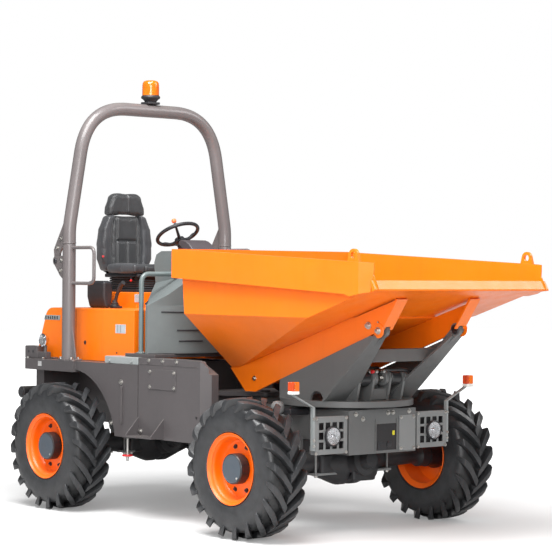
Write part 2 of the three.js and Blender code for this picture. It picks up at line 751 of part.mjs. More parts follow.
function cowlBody() {
  const chin = floorFront - 25; // front of the cowl beside its nose
  const upperFront = chin - 60;
  const foot = [
    [cowlFootRear, -floorHalfWidth], [cowlFootRear + 25, -floorHalfWidth],
    [chin, -500], [floorFront, -350], [floorFront, 350], [chin, 500],
    [cowlFootRear + 25, floorHalfWidth], [cowlFootRear, floorHalfWidth],
  ];
  const waist = prismZ(foot, floorTop + fit, cowlWaistZ);
  const shoulder = prismX([
    [-floorHalfWidth, cowlWaistZ - 1], [floorHalfWidth, cowlWaistZ - 1], [cowlHalfWidth, cowlShoulderZ],
    [-cowlHalfWidth, cowlShoulderZ],
  ], cowlFootRear, upperFront).intersect(prismY([
    [cowlFootRear, cowlWaistZ - 2], [chin, cowlWaistZ - 2], [upperFront, cowlShoulderZ + 10],
    [cowlFootRear, cowlShoulderZ + 10],
  ], -floorHalfWidth, floorHalfWidth)).intersect(prismZ(foot, cowlWaistZ - 5, cowlShoulderZ + 60));
  const upper = prismY([
    [cowlFootRear - 10, cowlWaistZ - 110], [upperFront, cowlWaistZ - 110], [upperFront - 20, cowlTop - 60],
    [upperFront - 70, cowlTop], [cowlRear + 90, cowlTop], [cowlRear + 26, cowlTop - 28],
    [cowlRear, cowlTop - 90], [cowlRear + 18, cowlSkirtTop], [cowlRear + 70, cowlSkirtFoot],
    [cowlFootRear - 10, cowlWaistZ + 10],
  ], -cowlHalfWidth, cowlHalfWidth);
  const skirts = sides.map(([, side]) => hull([
    [cowlFootRear + 1, side * floorHalfWidth, cowlWaistZ - 1],
    [cowlFootRear + 1, side * cowlHalfWidth, cowlWaistZ - 1],
    [cowlFootRear + 1, side * cowlHalfWidth, cowlShoulderZ],
    [cowlRear + 18, side * cowlHalfWidth, cowlSkirtTop],
    [cowlRear + 70, side * cowlHalfWidth, cowlSkirtFoot],
  ]));
  const legroomTop = cowlTop - 150;
  const legroom = prismY([
    [cowlFootRear - 100, floorTop - 5], [upperFront, floorTop - 5], [upperFront, cowlWaistZ - 110],
    [cowlFootRear - 25, cowlShoulderZ - 50], [cowlRear + 60, legroomTop], [cowlRear - 5, legroomTop],
  ], -footwellHalfWidth, footwellHalfWidth);
  return join(waist, shoulder, upper, skirts).subtract(legroom);
}

piece(rear, 'cowl', cowlBody(), cowlPlastic);

piece(rear, 'dash_hood', prismY([
  [dashRear + 80, cowlTop + fit], [dashFront + 70, cowlTop + fit], [dashFront, dashTop - 40],
  [dashFront - 40, dashTop - 5], [dashRear - 5, dashTop], [dashRear - 35, dashTop - 45],
], -dashHalfWidth, dashHalfWidth), blackPlastic);

const wheelAxis = new THREE.Vector3(-Math.sin(rad(steeringTilt)), 0, Math.cos(rad(steeringTilt)));
const along = (distance) => [
  steeringX + wheelAxis.x * distance, 0, steeringZ + wheelAxis.z * distance,
];

function steeringColumnBody() {
  return join(
    bar(along(-hubDrop - hubHalf - fit), along(-330), columnRadius, 12),
    box(cowlRear - 30, cowlRear - fit, -60, 60, cowlTop - 100, cowlTop - 8),
  );
}

function steeringWheelBody() {
  const ringPoints = arc(steeringRadius, 0, steeringTube, 0, 360, 6).slice(0, -1);
  const ring = turned([...ringPoints, ringPoints[0]], 1, 20);
  const hub = bar([0, -hubDrop - hubHalf, 0], [0, -hubDrop + hubHalf, 0], hubOfWheel, 16);
  const onRim = (angle, height) => [
    steeringRadius * Math.cos(rad(angle)), height, steeringRadius * Math.sin(rad(angle)),
  ];
  const spokes = spokeAngles.map((angle) => bar([0, -hubDrop, 0], onRim(angle, 0), spokeRadius, 6));
  const knob = bar(onRim(knobAngle, 0), onRim(knobAngle, knobHeight), knobRadius, 12);
  return join(ring, hub, spokes, knob);
}

const steeringMesh = piece(rear, 'steering_wheel', steeringWheelBody(), blackPlastic);
steeringMesh.position.set(...along(0));
steeringMesh.quaternion.setFromUnitVectors(new THREE.Vector3(0, 1, 0), wheelAxis);
piece(rear, 'steering_column', steeringColumnBody(), blackPlastic);

for (const [hand, side] of sides) {
  const rail = bentTube([
    [handrailX, side * handrailY, floorTop + fit], [handrailX, side * handrailY, handrailTop],
    [handrailX, side * (cowlHalfWidth + fit), handrailTop],
  ], handrailRadius, handrailBend, 8, 12);
  const flange = barZ(handrailX, side * handrailY, floorTop + fit, floorTop + 12, handrailRadius + 17, 14);
  piece(rear, `handrail_${hand}`, join(rail, flange), hoopGrey);
}

// ---- Roll-over posts and folding hoop ----------------------------------------------------

for (const [hand, side] of sides) {
  const base = deckTop + fit;
  const y = side * postY;
  const inner = y - gussetPlate / 2;
  const outer = y + gussetPlate / 2;
  const post = barZ(postX, y, base, jointZ - fit, hoopTube, 12);
  const foot = box(postX - 75, postX + 110, side * 745, side * 848, base, base + 14);
  const frontGusset = prismY([
    [postX + 30, base], [postX + 105, base], [postX + 30, base + 330],
  ], inner, outer);
  const ears = [-1, 1].map((way) => prismY([
    [postX - 30, foldPinZ - 170], [postX - 30, foldPinZ + 40], [foldPinX, foldPinZ + 40],
    ...arc(foldPinX, foldPinZ, 40, 90, 250, 6), [postX - 95, foldPinZ - 120],
  ], y + way * 18 - 5, y + way * 18 + 5));
  const loop = bentTube([
    [postX + 30, y, loopTop], [postX + loopReach, y, loopTop], [postX + loopReach, y, loopFloor],
    [postX + 30, y, loopFloor],
  ], loopRadius, 55, 6, 14);
  piece(rear, `rops_post_${hand}`, join(post, foot, frontGusset, ears, loop), hoopGrey);
}

function hoopBody() {
  const arch = bentTube([
    [postX, -postY, jointZ + fit], [postX, -postY, hoopLeanZ], [postX, -hoopCornerY, hoopTopZ],
    [postX, hoopCornerY, hoopTopZ], [postX, postY, hoopLeanZ], [postX, postY, jointZ + fit],
  ], hoopTube, hoopBend, 12, 28);
  const knuckles = sides.map(([, side]) => {
    const y = side * postY;
    return prismY([
      [postX - 20, jointZ + 8], [postX - 20, jointZ + 215], [postX - 45, jointZ + 205],
      [foldPinX - 50, foldPinZ + 90], [foldPinX - 34, foldPinZ - 20], [foldPinX + 20, foldPinZ - 34],
      [foldPinX + 34, foldPinZ + 60], [postX - 60, jointZ + 8],
    ], y - 9, y + 9);
  });
  return join(arch, knuckles);
}

piece(rear, 'rops_hoop', hoopBody(), hoopGrey);

const beaconBase = hoopTopZ + hoopTube + fit;
piece(rear, 'beacon', join(
  barZ(postX, 0, beaconBase, beaconBase + 50, beaconRadius, 20),
  barZ(postX, 0, beaconBase + 45, beaconBase + 75, beaconFlange, 20),
  barZ(postX, 0, beaconBase + 70, beaconBase + beaconHeight, beaconLens, 20),
), amberLens);

// ---- Front frame --------------------------------------------------------------------------

function frontFrameBody() {
  const pivot = pivotFromRearAxle - wheelbase;
  const tongueFloor = yokeBottom + yokePlate + tongueGap;
  const tongueTop = yokeTop - yokePlate - tongueGap;
  const tongue = prismZ([
    ...arc(pivot, 0, yokeRadius - 5, 80, 280, 12), [frontBoxRear + 30, -190], [frontBoxRear + 30, 190],
  ], tongueFloor, tongueTop).subtract(barZ(pivot, 0, tongueFloor - 1, tongueTop + 1, pinRadius + 1));
  const shell = box(frontBoxRear, frontFace, -frontHalfWidth, frontHalfWidth, frontFloor, frontTop)
    .subtract(box(frontBoxRear + frontPlate, frontFace - frontPlate, -frontHalfWidth + frontPlate,
      frontHalfWidth - frontPlate, frontFloor - 1, frontTop - frontPlate));
  const steerArm = prismZ([
    [pivot - 40, -90], [pivot - 45, -steerY - 40], [pivot + 45, -steerY - 40], [pivot + 60, -90],
  ], steerZ + steerLug, steerZ + steerLug + steerLugPlate);
  const lampPlate = box(frontFace - guardDepth - fit - lampPlateDepth, frontFace - guardDepth - fit,
    -guardOuter, guardOuter, guardFloor + 10, guardFootTop);
  const ring = barZ(turntableX, 0, frontTop - 1, slewRingTop - fit, slewRingRadius, 32);
  return join(tongue, shell, steerArm, lampPlate, ring);
}

piece(front, 'front_frame', frontFrameBody(), frameGrey);

for (const [hand, side] of sides) {
  const rearFaceX = frontFace - guardDepth;
  const y0 = guardInner;
  const y1 = guardOuter;
  let guard = box(rearFaceX, frontFace, side * y0, side * y1, guardFloor, guardTop)
    .subtract(box(rearFaceX - 1, frontFace - guardPlate, side * (y0 + guardPlate), side * (y1 - guardPlate),
      guardFloor + guardPlate, guardTop - guardPlate));
  for (let column = 0; column < guardColumns; column += 1) {
    for (let row = 0; row < guardRows; row += 1) {
      const y = y0 + 25 + (column + 0.5) * guardPitchY - guardHoleY / 2;
      const z = guardFloor + 28 + (row + 0.5) * guardPitchZ - guardHoleZ / 2;
      guard = guard.subtract(box(frontFace - 20, frontFace + 1, side * y, side * (y + guardHoleY),
        z, z + guardHoleZ));
    }
  }
  piece(front, `lamp_guard_${hand}`, guard, frameGrey);
  const y = side * lampY;
  const lensRear = frontFace + lampBodyDepth;
  piece(front, `headlamp_${hand}`, join(
    bar([frontFace + fit, y, lampZ], [lensRear, y, lampZ], lampRadius, 24),
    bar([lensRear - 1, y, lampZ], [frontFace + lampDepth, y, lampZ], lampRadius - 16, 24),
  ), lampGlass);
  const armInner = guardOuter + fit;
  const armOuter = armInner + indicatorArm;
  piece(front, `indicator_${hand}`, join(
    box(frontFace - 30, frontFace, side * armInner, side * armOuter, guardFloor + 30, armBendZ),
    prismX([
      [side * armInner, armBendZ - 1], [side * armOuter, armBendZ - 1],
      [side * (indicatorInner + 30 + indicatorArm), indicatorFloor + 1],
      [side * (indicatorInner + 30), indicatorFloor + 1],
    ], frontFace - 30, frontFace),
    box(frontFace - 14, frontFace + indicatorDepth - 14, side * indicatorInner, side * indicatorOuter,
      indicatorFloor, indicatorTop),
  ), amberLens);
}

// ---- Swivel frame ----------------------------------------------------------------------------

const beamEdge = (x) => beamLowZ + (x - beamLowX) * beamSlope; // lower edge of the skip's beams
const swivelGap = 8;

function swivelFrameBody() {
  const disc = barZ(0, 0, slewRingTop, turntableTop, turntableRadius, 32);
  const top = (x) => beamEdge(x) - swivelGap;
  const parts = [disc];
  for (const [, side] of sides) {
    const outer = side * swivelPlateOuter;
    const inner = side * (swivelPlateOuter - swivelPlate);
    parts.push(prismY([
      [swivelPlateRear, turntableTop - 2], ...arc(scoopX, turntableTop, scoopRadius, 180, 0, 10),
      [swivelPlateFoot, turntableTop - 2], [735, 1430], [700, top(700)],
      [swivelPlateRear, top(swivelPlateRear)],
    ], inner, outer));
    const flange = prismY([
      [swivelPlateFoot - 25, turntableTop - 2], [swivelPlateFoot, turntableTop - 2], [748, 1425], [735, 1440],
    ], side * 150, outer).intersect(prismX([
      [side * 440, turntableTop - 5], [side * 165, turntableTop - 5], [side * 335, 1445], [side * 440, 1445],
    ], 100, 800));
    parts.push(flange);
    const lug = join(
      barY(tipPinX, tipPinZ, side * 345, side * 378, 46),
      prismY([
        [tipPinX - 46, tipPinZ], [tipPinX + 30, tipPinZ - 30], [690, 1370], [600, 1330], [640, 1400],
      ], side * 345, side * 378),
    );
    const pin = barY(tipPinX, tipPinZ, side * 340, side * (skipBeamOuter + 6), tipPinRadius);
    parts.push(lug, pin);
    const earProfile = [
      [190, turntableTop - 2], [345, turntableTop - 2], [ramBaseX + 60, ramBaseZ],
      ...arc(ramBaseX, ramBaseZ, 60, 0, 180, 5), [215, 1040],
    ];
    for (const way of [-1, 1]) {
      const ear = side * ramY + way * ramEarInner;
      parts.push(prismY(earProfile, ear, ear + way * ramEarPlate));
    }
    parts.push(barY(ramBaseX, ramBaseZ, side * ramY - 80, side * ramY + 80, ramPinRadius, 12));
  }
  parts.push(box(crossbarX, crossbarX + 90, -swivelPlateOuter + 5, swivelPlateOuter - 5, 1240, 1330));
  return join(parts);
}

piece(swivel, 'swivel_frame', swivelFrameBody(), frameGrey);

// ---- Tip rams -----------------------------------------------------------------------------------

const ramLength = Math.hypot(ramEyeX - ramBaseX, ramEyeZ - ramBaseZ);
const ramDirection = [(ramEyeX - ramBaseX) / ramLength, (ramEyeZ - ramBaseZ) / ramLength];
const onRam = (distance, y) => [
  ramBaseX + ramDirection[0] * distance, y, ramBaseZ + ramDirection[1] * distance,
];

for (const [hand, side] of sides) {
  const y = side * ramY;
  const barrel = join(
    barY(ramBaseX, ramBaseZ, y - 44, y + 44, ramBarrelRadius + 6),
    bar(onRam(20, y), onRam(ramGland, y), ramBarrelRadius, 16),
  ).subtract(barY(ramBaseX, ramBaseZ, y - 60, y + 60, ramPinRadius + 1, 16))
    .subtract(bar(onRam(ramRodTail - 5, y), onRam(ramGland + 5, y), ramRodRadius + 1, 12));
  piece(swivel, `tip_barrel_${hand}`, barrel, blackPlastic);
  const rod = join(
    bar(onRam(ramRodTail, y), onRam(ramLength - 20, y), ramRodRadius, 12),
    barY(ramEyeX, ramEyeZ, y - ramEyeHalf, y + ramEyeHalf, ramEyeRadius),
  );
  piece(swivel, `tip_rod_${hand}`, rod, steelBright);
}

// ---- Skip ---------------------------------------------------------------------------------------------

const skipFloor = (x) => skipFootZ + (x - skipFootX) * skipFloorSlope;
const rimSlope = (skipRimFrontZ - skipRimRearZ) / (skipRimFrontX - skipRearTopX);
const skipRim = (x) => skipRimRearZ + (x - skipRearTopX) * rimSlope;

function skipTubBody() {
  const shoulderX = 1100; // front end of the rim in the tub's walls
  const outerSide = prismY([
    [skipBellyX, skipBellyZ], [skipFootX, skipFootZ], [skipFloorFront, skipFloor(skipFloorFront)],
    [lipX, lipZ], [lipX, lipZ + 20], [shoulderX, skipRim(shoulderX)], [skipRearWallX, skipRim(skipRearWallX)],
    [skipRearWallX, skipRearWallZ], [skipRearKneeX, skipWaistZ],
  ], -skipHalfWidth, skipHalfWidth);
  const innerSide = prismY([
    [skipBellyX + skipWall, skipBellyZ + skipWall], [skipFootX, skipFootZ + skipWall],
    [skipFloorFront, skipFloor(skipFloorFront) + skipWall], [lipX + 40, lipZ + skipWall + 8],
    [lipX + 40, 2200], [skipRearWallX + skipWall, 2200], [skipRearWallX + skipWall, skipRearWallZ],
    [skipRearKneeX + skipWall, skipWaistZ],
  ], -skipHalfWidth, skipHalfWidth);
  const across = (inset) => {
    const wall = skipHalfWidth - inset;
    const foot = skipFloorHalfWidth - inset * 0.4;
    const half = [
      [wall, 2150], [wall, skipWaistZ], [foot, skipFootZ + inset * 0.2], [foot - 107, 1059],
    ];
    return prismX([...half, ...half.map(([y, z]) => [-y, z]).reverse()], -1000, 1300);
  };
  const bandOutline = [
    [skipRearTopX, skipRimRearZ - rimDepth], [918, 1727], [skipFloorFront, skipFloor(skipFloorFront)],
    [lipX - 60, 1742], [1150, 1900], [skipRimFrontX, skipRimFrontZ], [skipRearTopX, skipRimRearZ],
  ];
  const rimOuter = skipHalfWidth + rimBand;
  const bands = sides.map(([, side]) => prismY(bandOutline, side * (skipHalfWidth - skipWall),
    side * rimOuter).subtract(prismZ([
    [skipRimFrontX - rimChamfer, side * (rimOuter + 1)], [skipRimFrontX + rimChamfer, side * (rimOuter + 1)],
    [skipRimFrontX + rimChamfer, side * (skipHalfWidth - 2 * skipWall)],
    [skipRimFrontX + skipWall, side * (skipHalfWidth - skipWall)],
  ], skipFootZ, skipRimRearZ)));
  const rearBand = box(skipRearTopX, skipRearWallX + skipWall, -skipHalfWidth, skipHalfWidth,
    skipRimRearZ - rimDepth, skipRimRearZ);
  const lip = prismY([
    [lipX - 30, lipZ - 4], [lipX, lipZ], [lipX, lipZ + 10], [lipX - lipRake, lipZ + lipDepth],
    [lipX - lipRake - 14, lipZ + lipDepth], [lipX - 30, lipZ + 14],
  ], -skipHalfWidth - 25, skipHalfWidth + 25);
  const eyeFoot = skipRim(eyeX) - 8;
  const eyeCentre = skipRim(eyeX) + eyeRise;
  const eyes = sides.map(([, side]) => prismY([
    [eyeX - eyeRadius * 1.35, eyeFoot], ...arc(eyeX, eyeCentre, eyeRadius, 160, 20, 8),
    [eyeX + eyeRadius * 1.35, eyeFoot],
  ], side * eyeInner, side * (eyeInner + eyePlate)).subtract(
    barY(eyeX, eyeCentre, side * (eyeInner - 1), side * (eyeInner + eyePlate + 1), eyeHole, 16),
  ));
  const tub = outerSide.intersect(across(0)).subtract(innerSide.intersect(across(skipWall)));
  return join(tub, bands, rearBand, lip, eyes);
}

piece(swivel, 'skip_tub', skipTubBody(), orangePaint);

function skipBeamsBody() {
  const under = (x) => skipFloor(x) - fit; // just below the tub's floor
  const inside = skipBeamOuter - 4;
  const cheekPlate = 16;
  const parts = [];
  for (const [, side] of sides) {
    const outer = side * skipBeamOuter;
    const inner = side * (skipBeamOuter - skipBeamPlate);
    parts.push(prismY([
      [skipBellyX, skipBellyZ - fit - 1], [-665, beamLowZ], [beamLowX, beamLowZ],
      [beamFrontX, beamEdge(beamFrontX)], [beamHeadX, beamHeadZ], [skipFootX, under(skipFootX)],
    ], inner, outer));
    parts.push(prismY([
      [beamFrontX - 14, beamEdge(beamFrontX - 14)], [beamFrontX, beamEdge(beamFrontX)],
      [beamHeadX, beamHeadZ], [beamHeadX - 20, under(beamHeadX - 20)],
    ], side * 310, outer));
    for (const y of [side * ramY - 50, side * ramY + 50 - cheekPlate]) {
      parts.push(prismY([
        [ramEyeX - 70, under(ramEyeX - 70)], [ramEyeX - 60, ramEyeZ - 40], [ramEyeX + 20, ramEyeZ - 60],
        [ramEyeX + 110, under(ramEyeX + 110)],
      ], y, y + cheekPlate));
    }
  }
  const strapRear = skipFootX + 6;
  const strapFront = 500;
  const strapPlate = 14;
  const tie = box(strapRear, strapRear + 30, -inside, inside, 1060, 1150);
  const strap = prismY([
    [strapRear, under(strapRear) - strapPlate], [strapRear, under(strapRear)],
    [strapFront, under(strapFront)], [strapFront, under(strapFront) - strapPlate],
  ], -inside, inside);
  const pinHoles = sides.map(([, side]) => barY(tipPinX, tipPinZ, side * 300, side * (skipBeamOuter + 10),
    tipPinRadius + 1));
  const lugRooms = sides.map(([, side]) => barY(tipPinX, tipPinZ, side * 338, side * 385, 54));
  return join(parts, tie, strap).subtract(join(pinHoles, lugRooms));
}

piece(swivel, 'skip_beams', skipBeamsBody(), orangePaint);

// ---- Steering ram ---------------------------------------------------------------------------------------

const steerLength = pivotFromRearAxle - steerBaseX;
const steerBarrel = join(
  bar([steerBaseX + 30, -steerY, steerZ], [steerBaseX + steerGland, -steerY, steerZ], steerBarrelRadius, 16),
  barZ(steerBaseX, -steerY, steerZ - 28, steerZ + steerLug - fit, steerEyeRadius, 16),
  box(steerBaseX, steerBaseX + 60, -steerY - 20, -steerY + 20, steerZ - 20, steerZ + 20),
).subtract(bar([steerBaseX + 80, -steerY, steerZ], [steerBaseX + steerGland + 5, -steerY, steerZ],
  steerRodRadius + 1, 12));
piece(rear, 'steering_barrel', steerBarrel, blackPlastic);
piece(rear, 'steering_rod', join(
  bar([steerBaseX + steerRodTail, -steerY, steerZ], [steerBaseX + steerLength, -steerY, steerZ],
    steerRodRadius, 12),
  barZ(steerBaseX + steerLength, -steerY, steerZ - 24, steerZ + steerLug - fit, steerRodEyeRadius, 16),
), steelBright);

export default dumper;
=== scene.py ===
"""Looks of an articulated site dumper with a swivelling tip skip. Metres, +X forward, +Z up."""
import logging
import math
from dataclasses import dataclass
from enum import Enum
from typing import Callable, Sequence

import bmesh
import bpy
from mathutils import Matrix, Vector


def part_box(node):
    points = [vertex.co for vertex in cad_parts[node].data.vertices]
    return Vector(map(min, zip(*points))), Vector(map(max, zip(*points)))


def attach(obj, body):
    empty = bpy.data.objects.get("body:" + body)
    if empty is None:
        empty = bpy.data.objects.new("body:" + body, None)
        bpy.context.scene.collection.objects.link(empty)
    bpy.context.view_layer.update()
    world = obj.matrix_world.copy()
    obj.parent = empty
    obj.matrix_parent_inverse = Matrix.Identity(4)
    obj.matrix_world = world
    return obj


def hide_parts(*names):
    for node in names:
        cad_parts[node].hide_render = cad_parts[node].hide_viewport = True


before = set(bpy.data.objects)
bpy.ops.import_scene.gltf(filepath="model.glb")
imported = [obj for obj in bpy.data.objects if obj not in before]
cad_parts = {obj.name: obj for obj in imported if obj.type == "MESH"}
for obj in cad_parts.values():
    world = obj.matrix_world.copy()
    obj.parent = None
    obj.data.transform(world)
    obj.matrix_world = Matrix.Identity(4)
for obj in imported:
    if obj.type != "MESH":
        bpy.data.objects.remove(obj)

log = logging.getLogger("site_dumper")
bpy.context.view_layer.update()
Point = Sequence[float]
Outline = Sequence[Sequence[float]]
Part = bmesh.types.BMesh
Socket = bpy.types.NodeSocket
Colour = tuple[float, float, float]
SIDES = {"left": 1, "right": -1}


# ---- Materials ----


class Graph:
    """Node tree of one material, or of the world: each call makes a node and returns its output socket."""

    def __init__(self, tree: bpy.types.NodeTree, shader: str, output: str) -> None:
        """Starts a tree.

        Args:
            tree: the material's or the world's node tree.
            shader: the shader node's type.
            output: the output node's type.
        """
        self.nodes, self.links = tree.nodes, tree.links
        self.nodes.clear()
        end = self.nodes.new(output)
        self.shader = self.nodes.new(shader)
        self.links.new(self.shader.outputs[0], end.inputs["Surface"])
        self.place = self.node("TexCoord", "Object")

    def feed(self, socket: Socket, value: object) -> None:
        """Links a socket to another, or sets its constant value.

        Args:
            socket: the input that is fed.
            value: an output socket, a number or a colour.
        """
        if isinstance(value, bpy.types.NodeSocket):
            self.links.new(value, socket)
        elif isinstance(value, tuple) and len(socket.default_value) == 4:
            socket.default_value = (*value, 1.0)
        else:
            socket.default_value = value

    def node(
            self, kind: str, output: int | str = 0, feeds: dict | None = None, **settings: object
    ) -> Socket:
        """Adds a node.

        Args:
            kind: its type, without the prefix that all shader nodes share.
            output: which of its outputs is wanted.
            feeds: values or sockets by the name or place of its inputs.
            settings: its own options.

        Returns:
            The output socket.
        """
        made = self.nodes.new(f"ShaderNode{kind}")
        for name, value in settings.items():
            setattr(made, name, value)
        for name, value in (feeds or {}).items():
            self.feed(made.inputs[name], value)
        return made.outputs[output]

    def stretch(self, scale: Point) -> Socket:
        """Object coordinates scaled along each axis."""
        return self.node("Mapping", 0, {"Scale": scale, "Vector": self.place})

    def noise(self, scale: float, detail: float = 4.0, where: Socket | None = None) -> Socket:
        """Cloudy noise from 0 to 1, with its features to a metre and its octaves."""
        return self.node(
            "TexNoise", "Fac", {"Scale": scale, "Detail": detail, "Vector": where or self.place})

    def cells(self, scale: float) -> Socket:
        """Distance to the edge in a pattern of cells."""
        return self.node(
            "TexVoronoi", "Distance", {"Scale": scale, "Vector": self.place}, feature="DISTANCE_TO_EDGE")

    def remap(
            self, value: Socket, low: float, high: float, to_low: float = 0.0, to_high: float = 1.0
    ) -> Socket:
        """Maps the range from low to high to another and clamps it."""
        return self.node(
            "MapRange", 0,
            {"Value": value, "From Min": low, "From Max": high, "To Min": to_low, "To Max": to_high})

    def math(self, operation: str, first: object, second: object) -> Socket:
        """One arithmetic step on two sockets or numbers."""
        return self.node("Math", 0, {0: first, 1: second}, operation=operation)

    def blend(self, share: object, first: object, second: object) -> Socket:
        """Mixes two colours, with a share of the second."""
        return self.node("Mix", 2, {0: share, 6: first, 7: second}, data_type="RGBA")

    def attribute(self, name: str) -> Socket:
        """Reads a mesh attribute, 0 where the mesh has none."""
        return self.node("Attribute", "Fac", attribute_name=name)

    def edges(self, radius: float) -> Socket:
        """Mask of sharp edges, convex and concave alike, where a normal rounded over a radius leaves the
        true one.
        """
        rounded = self.node("Bevel", 0, {"Radius": radius}, samples=4)
        true = self.node("NewGeometry", "Normal")
        return self.remap(
            self.node("VectorMath", "Value", {0: rounded, 1: true}, operation="DOT_PRODUCT"), 0.995, 0.9)

    def upward(self) -> Socket:
        """How far the surface faces up, from -1 to 1."""
        return self.node("SeparateXYZ", "Z", {0: self.node("NewGeometry", "Normal")})

    def bump(self, *layers: tuple[Socket, float]) -> None:
        """Stacks bump layers on the shader's normal.

        Args:
            layers: pairs of a height socket and its depth in metres.
        """
        below = None
        for height, depth in layers:
            feeds = {"Distance": depth, "Height": height}
            below = self.node("Bump", 0, feeds if below is None else {**feeds, "Normal": below})
        self.links.new(below, self.shader.inputs["Normal"])

    def set(self, **values: object) -> None:
        """Feeds shader inputs, with underscores for spaces."""
        for name, value in values.items():
            self.feed(self.shader.inputs[name.replace("_", " ")], value)


def painted(name: str) -> tuple[bpy.types.Material, Graph]:
    """A new material and its graph."""
    material = bpy.data.materials.new(name)
    material.use_nodes = True
    return material, Graph(material.node_tree, "ShaderNodeBsdfPrincipled", "ShaderNodeOutputMaterial")


def srgb(red: int, green: int, blue: int) -> Colour:
    """Linear colour of a display colour from 0 to 255.

    Args:
        red: red level.
        green: green level.
        blue: blue level.

    Returns:
        The linear colour.
    """
    def linear(level: float) -> float:
        """Linear light of one display level."""
        return level / 12.92 if level <= 0.04045 else ((level + 0.055) / 1.055) ** 2.4
    return tuple(linear(level / 255) for level in (red, green, blue))


def shaded(colour: Colour, factor: float) -> Colour:
    """A linear colour made darker or lighter by a factor."""
    return tuple(min(1.0, level * factor) for level in colour)


@dataclass(frozen=True)
class Finish:
    """A surface finish that is made once and shared."""

    name: str
    colour: Colour
    roughness: float = 0.5

    def material(self) -> bpy.types.Material:
        """The finish's material, made at its first use."""
        known = bpy.data.materials.get(f"finish_{self.name}")
        if known is None:
            known, graph = painted(f"finish_{self.name}")
            self.make(graph)
        return known

    def make(self, graph: Graph) -> None:
        """Fills the node tree."""
        graph.set(Base_Color=self.colour, Roughness=self.roughness)


@dataclass(frozen=True)
class Paint(Finish):
    """Sprayed machine paint with orange peel, soft dust, and an edge colour on worn convex edges that also
    goes into concave creases.
    """

    coat: float = 0.35
    edge: Colour = (0.3, 0.28, 0.26)
    wear: float = 0.5
    dust: float = 0.12
    peel: float = 0.00025

    def make(self, graph: Graph) -> None:
        """Paint layers: tone drift, run-off streaks, dust on top faces, and the edge colour on convex edges
        and in concave creases.
        """
        drift = graph.remap(graph.noise(1.7, 3), 0.3, 0.7)
        tone = graph.blend(drift, shaded(self.colour, 0.93), shaded(self.colour, 1.04))
        streaks = graph.remap(graph.noise(3.0, 5, graph.stretch((6, 6, 0.6))), 0.52, 0.78, 0.0, 0.16)
        tone = graph.blend(streaks, tone, shaded(self.colour, 0.72))
        lying = graph.math(
            "MULTIPLY", graph.remap(graph.upward(), 0.3, 1.0),
            graph.remap(graph.noise(5.0, 6), 0.35, 0.75, 0.0, self.dust))
        tone = graph.blend(lying, tone, srgb(196, 186, 172))
        # The edge colour goes on convex edges and, by the same mask, into concave creases.
        edge_and_crease_mask = graph.math(
            "MULTIPLY", graph.edges(0.006), graph.remap(graph.noise(30.0, 5), 0.46, 0.66, 0.0, self.wear))
        graph.set(
            Base_Color=graph.blend(edge_and_crease_mask, tone, self.edge), Coat_Weight=self.coat, Coat_Roughness=0.12,
            Roughness=graph.remap(
                graph.noise(9.0, 4), 0.3, 0.7, self.roughness - 0.06, self.roughness + 0.08))
        graph.bump((graph.noise(420.0, 2), self.peel), (graph.noise(14.0, 2), 0.0006))


@dataclass(frozen=True)
class Rubber(Finish):
    """Tyre rubber with a dressed sheen, mould texture and painted shade darkening the hollows."""

    hollow_shade: float = 0.9

    def make(self, graph: Graph) -> None:
        """Rubber layers: mottling, painted shade darkening the hollows between the lugs, fine mould grain.
        """
        mottle = graph.blend(
            graph.remap(graph.noise(16.0, 6), 0.3, 0.7), shaded(self.colour, 0.75),
            shaded(self.colour, 1.25))
        # Painted shade: where the hollow mask is set, the rubber is blended towards a much darker copy of
        # itself.
        painted_hollow_shade = graph.math(
            "MULTIPLY", graph.attribute("hollow_shade"),
            graph.remap(graph.noise(24.0, 6), 0.3, 0.7, self.hollow_shade * 0.7, self.hollow_shade))
        graph.set(
            Base_Color=graph.blend(painted_hollow_shade, mottle, shaded(self.colour, 0.22)), Specular_IOR_Level=0.6,
            Roughness=graph.remap(
                graph.noise(11.0, 5), 0.3, 0.7, self.roughness - 0.1, self.roughness + 0.14))
        graph.bump((graph.noise(260.0, 3), 0.0005), (graph.noise(30.0, 3), 0.0015))


@dataclass(frozen=True)
class Moulding(Finish):
    """Moulded plastic with spark-eroded grain."""

    grain: float = 0.0004
    cell: float = 520.0

    def make(self, graph: Graph) -> None:
        """Plastic layers: faint clouding, scuffs and a cell grain."""
        cloud = graph.blend(
            graph.remap(graph.noise(4.0, 4), 0.3, 0.7), shaded(self.colour, 0.9), shaded(self.colour, 1.08))
        scuff = graph.remap(graph.noise(22.0, 8), 0.62, 0.8, 0.0, 0.3)
        graph.set(
            Base_Color=graph.blend(scuff, cloud, shaded(self.colour, 1.35)),
            Roughness=graph.remap(
                graph.noise(30.0, 4), 0.3, 0.7, self.roughness - 0.05, self.roughness + 0.07))
        graph.bump((graph.cells(self.cell), self.grain), (graph.noise(7.0, 2), 0.0008))


@dataclass(frozen=True)
class Vinyl(Finish):
    """Seat vinyl with a hide grain and soft creases."""

    def make(self, graph: Graph) -> None:
        """Vinyl layers: pebble grain, creases, and tone and roughness that drift with noise."""
        tone = graph.blend(
            graph.remap(graph.noise(9.0, 5), 0.3, 0.7), shaded(self.colour, 0.8), shaded(self.colour, 1.2))
        graph.set(
            Base_Color=tone, Specular_IOR_Level=0.55, Sheen_Weight=0.15,
            Roughness=graph.remap(
                graph.noise(6.0, 4), 0.3, 0.7, self.roughness - 0.08, self.roughness + 0.1))
        graph.bump((graph.cells(330.0), 0.0007), (graph.noise(34.0, 5), 0.0014))


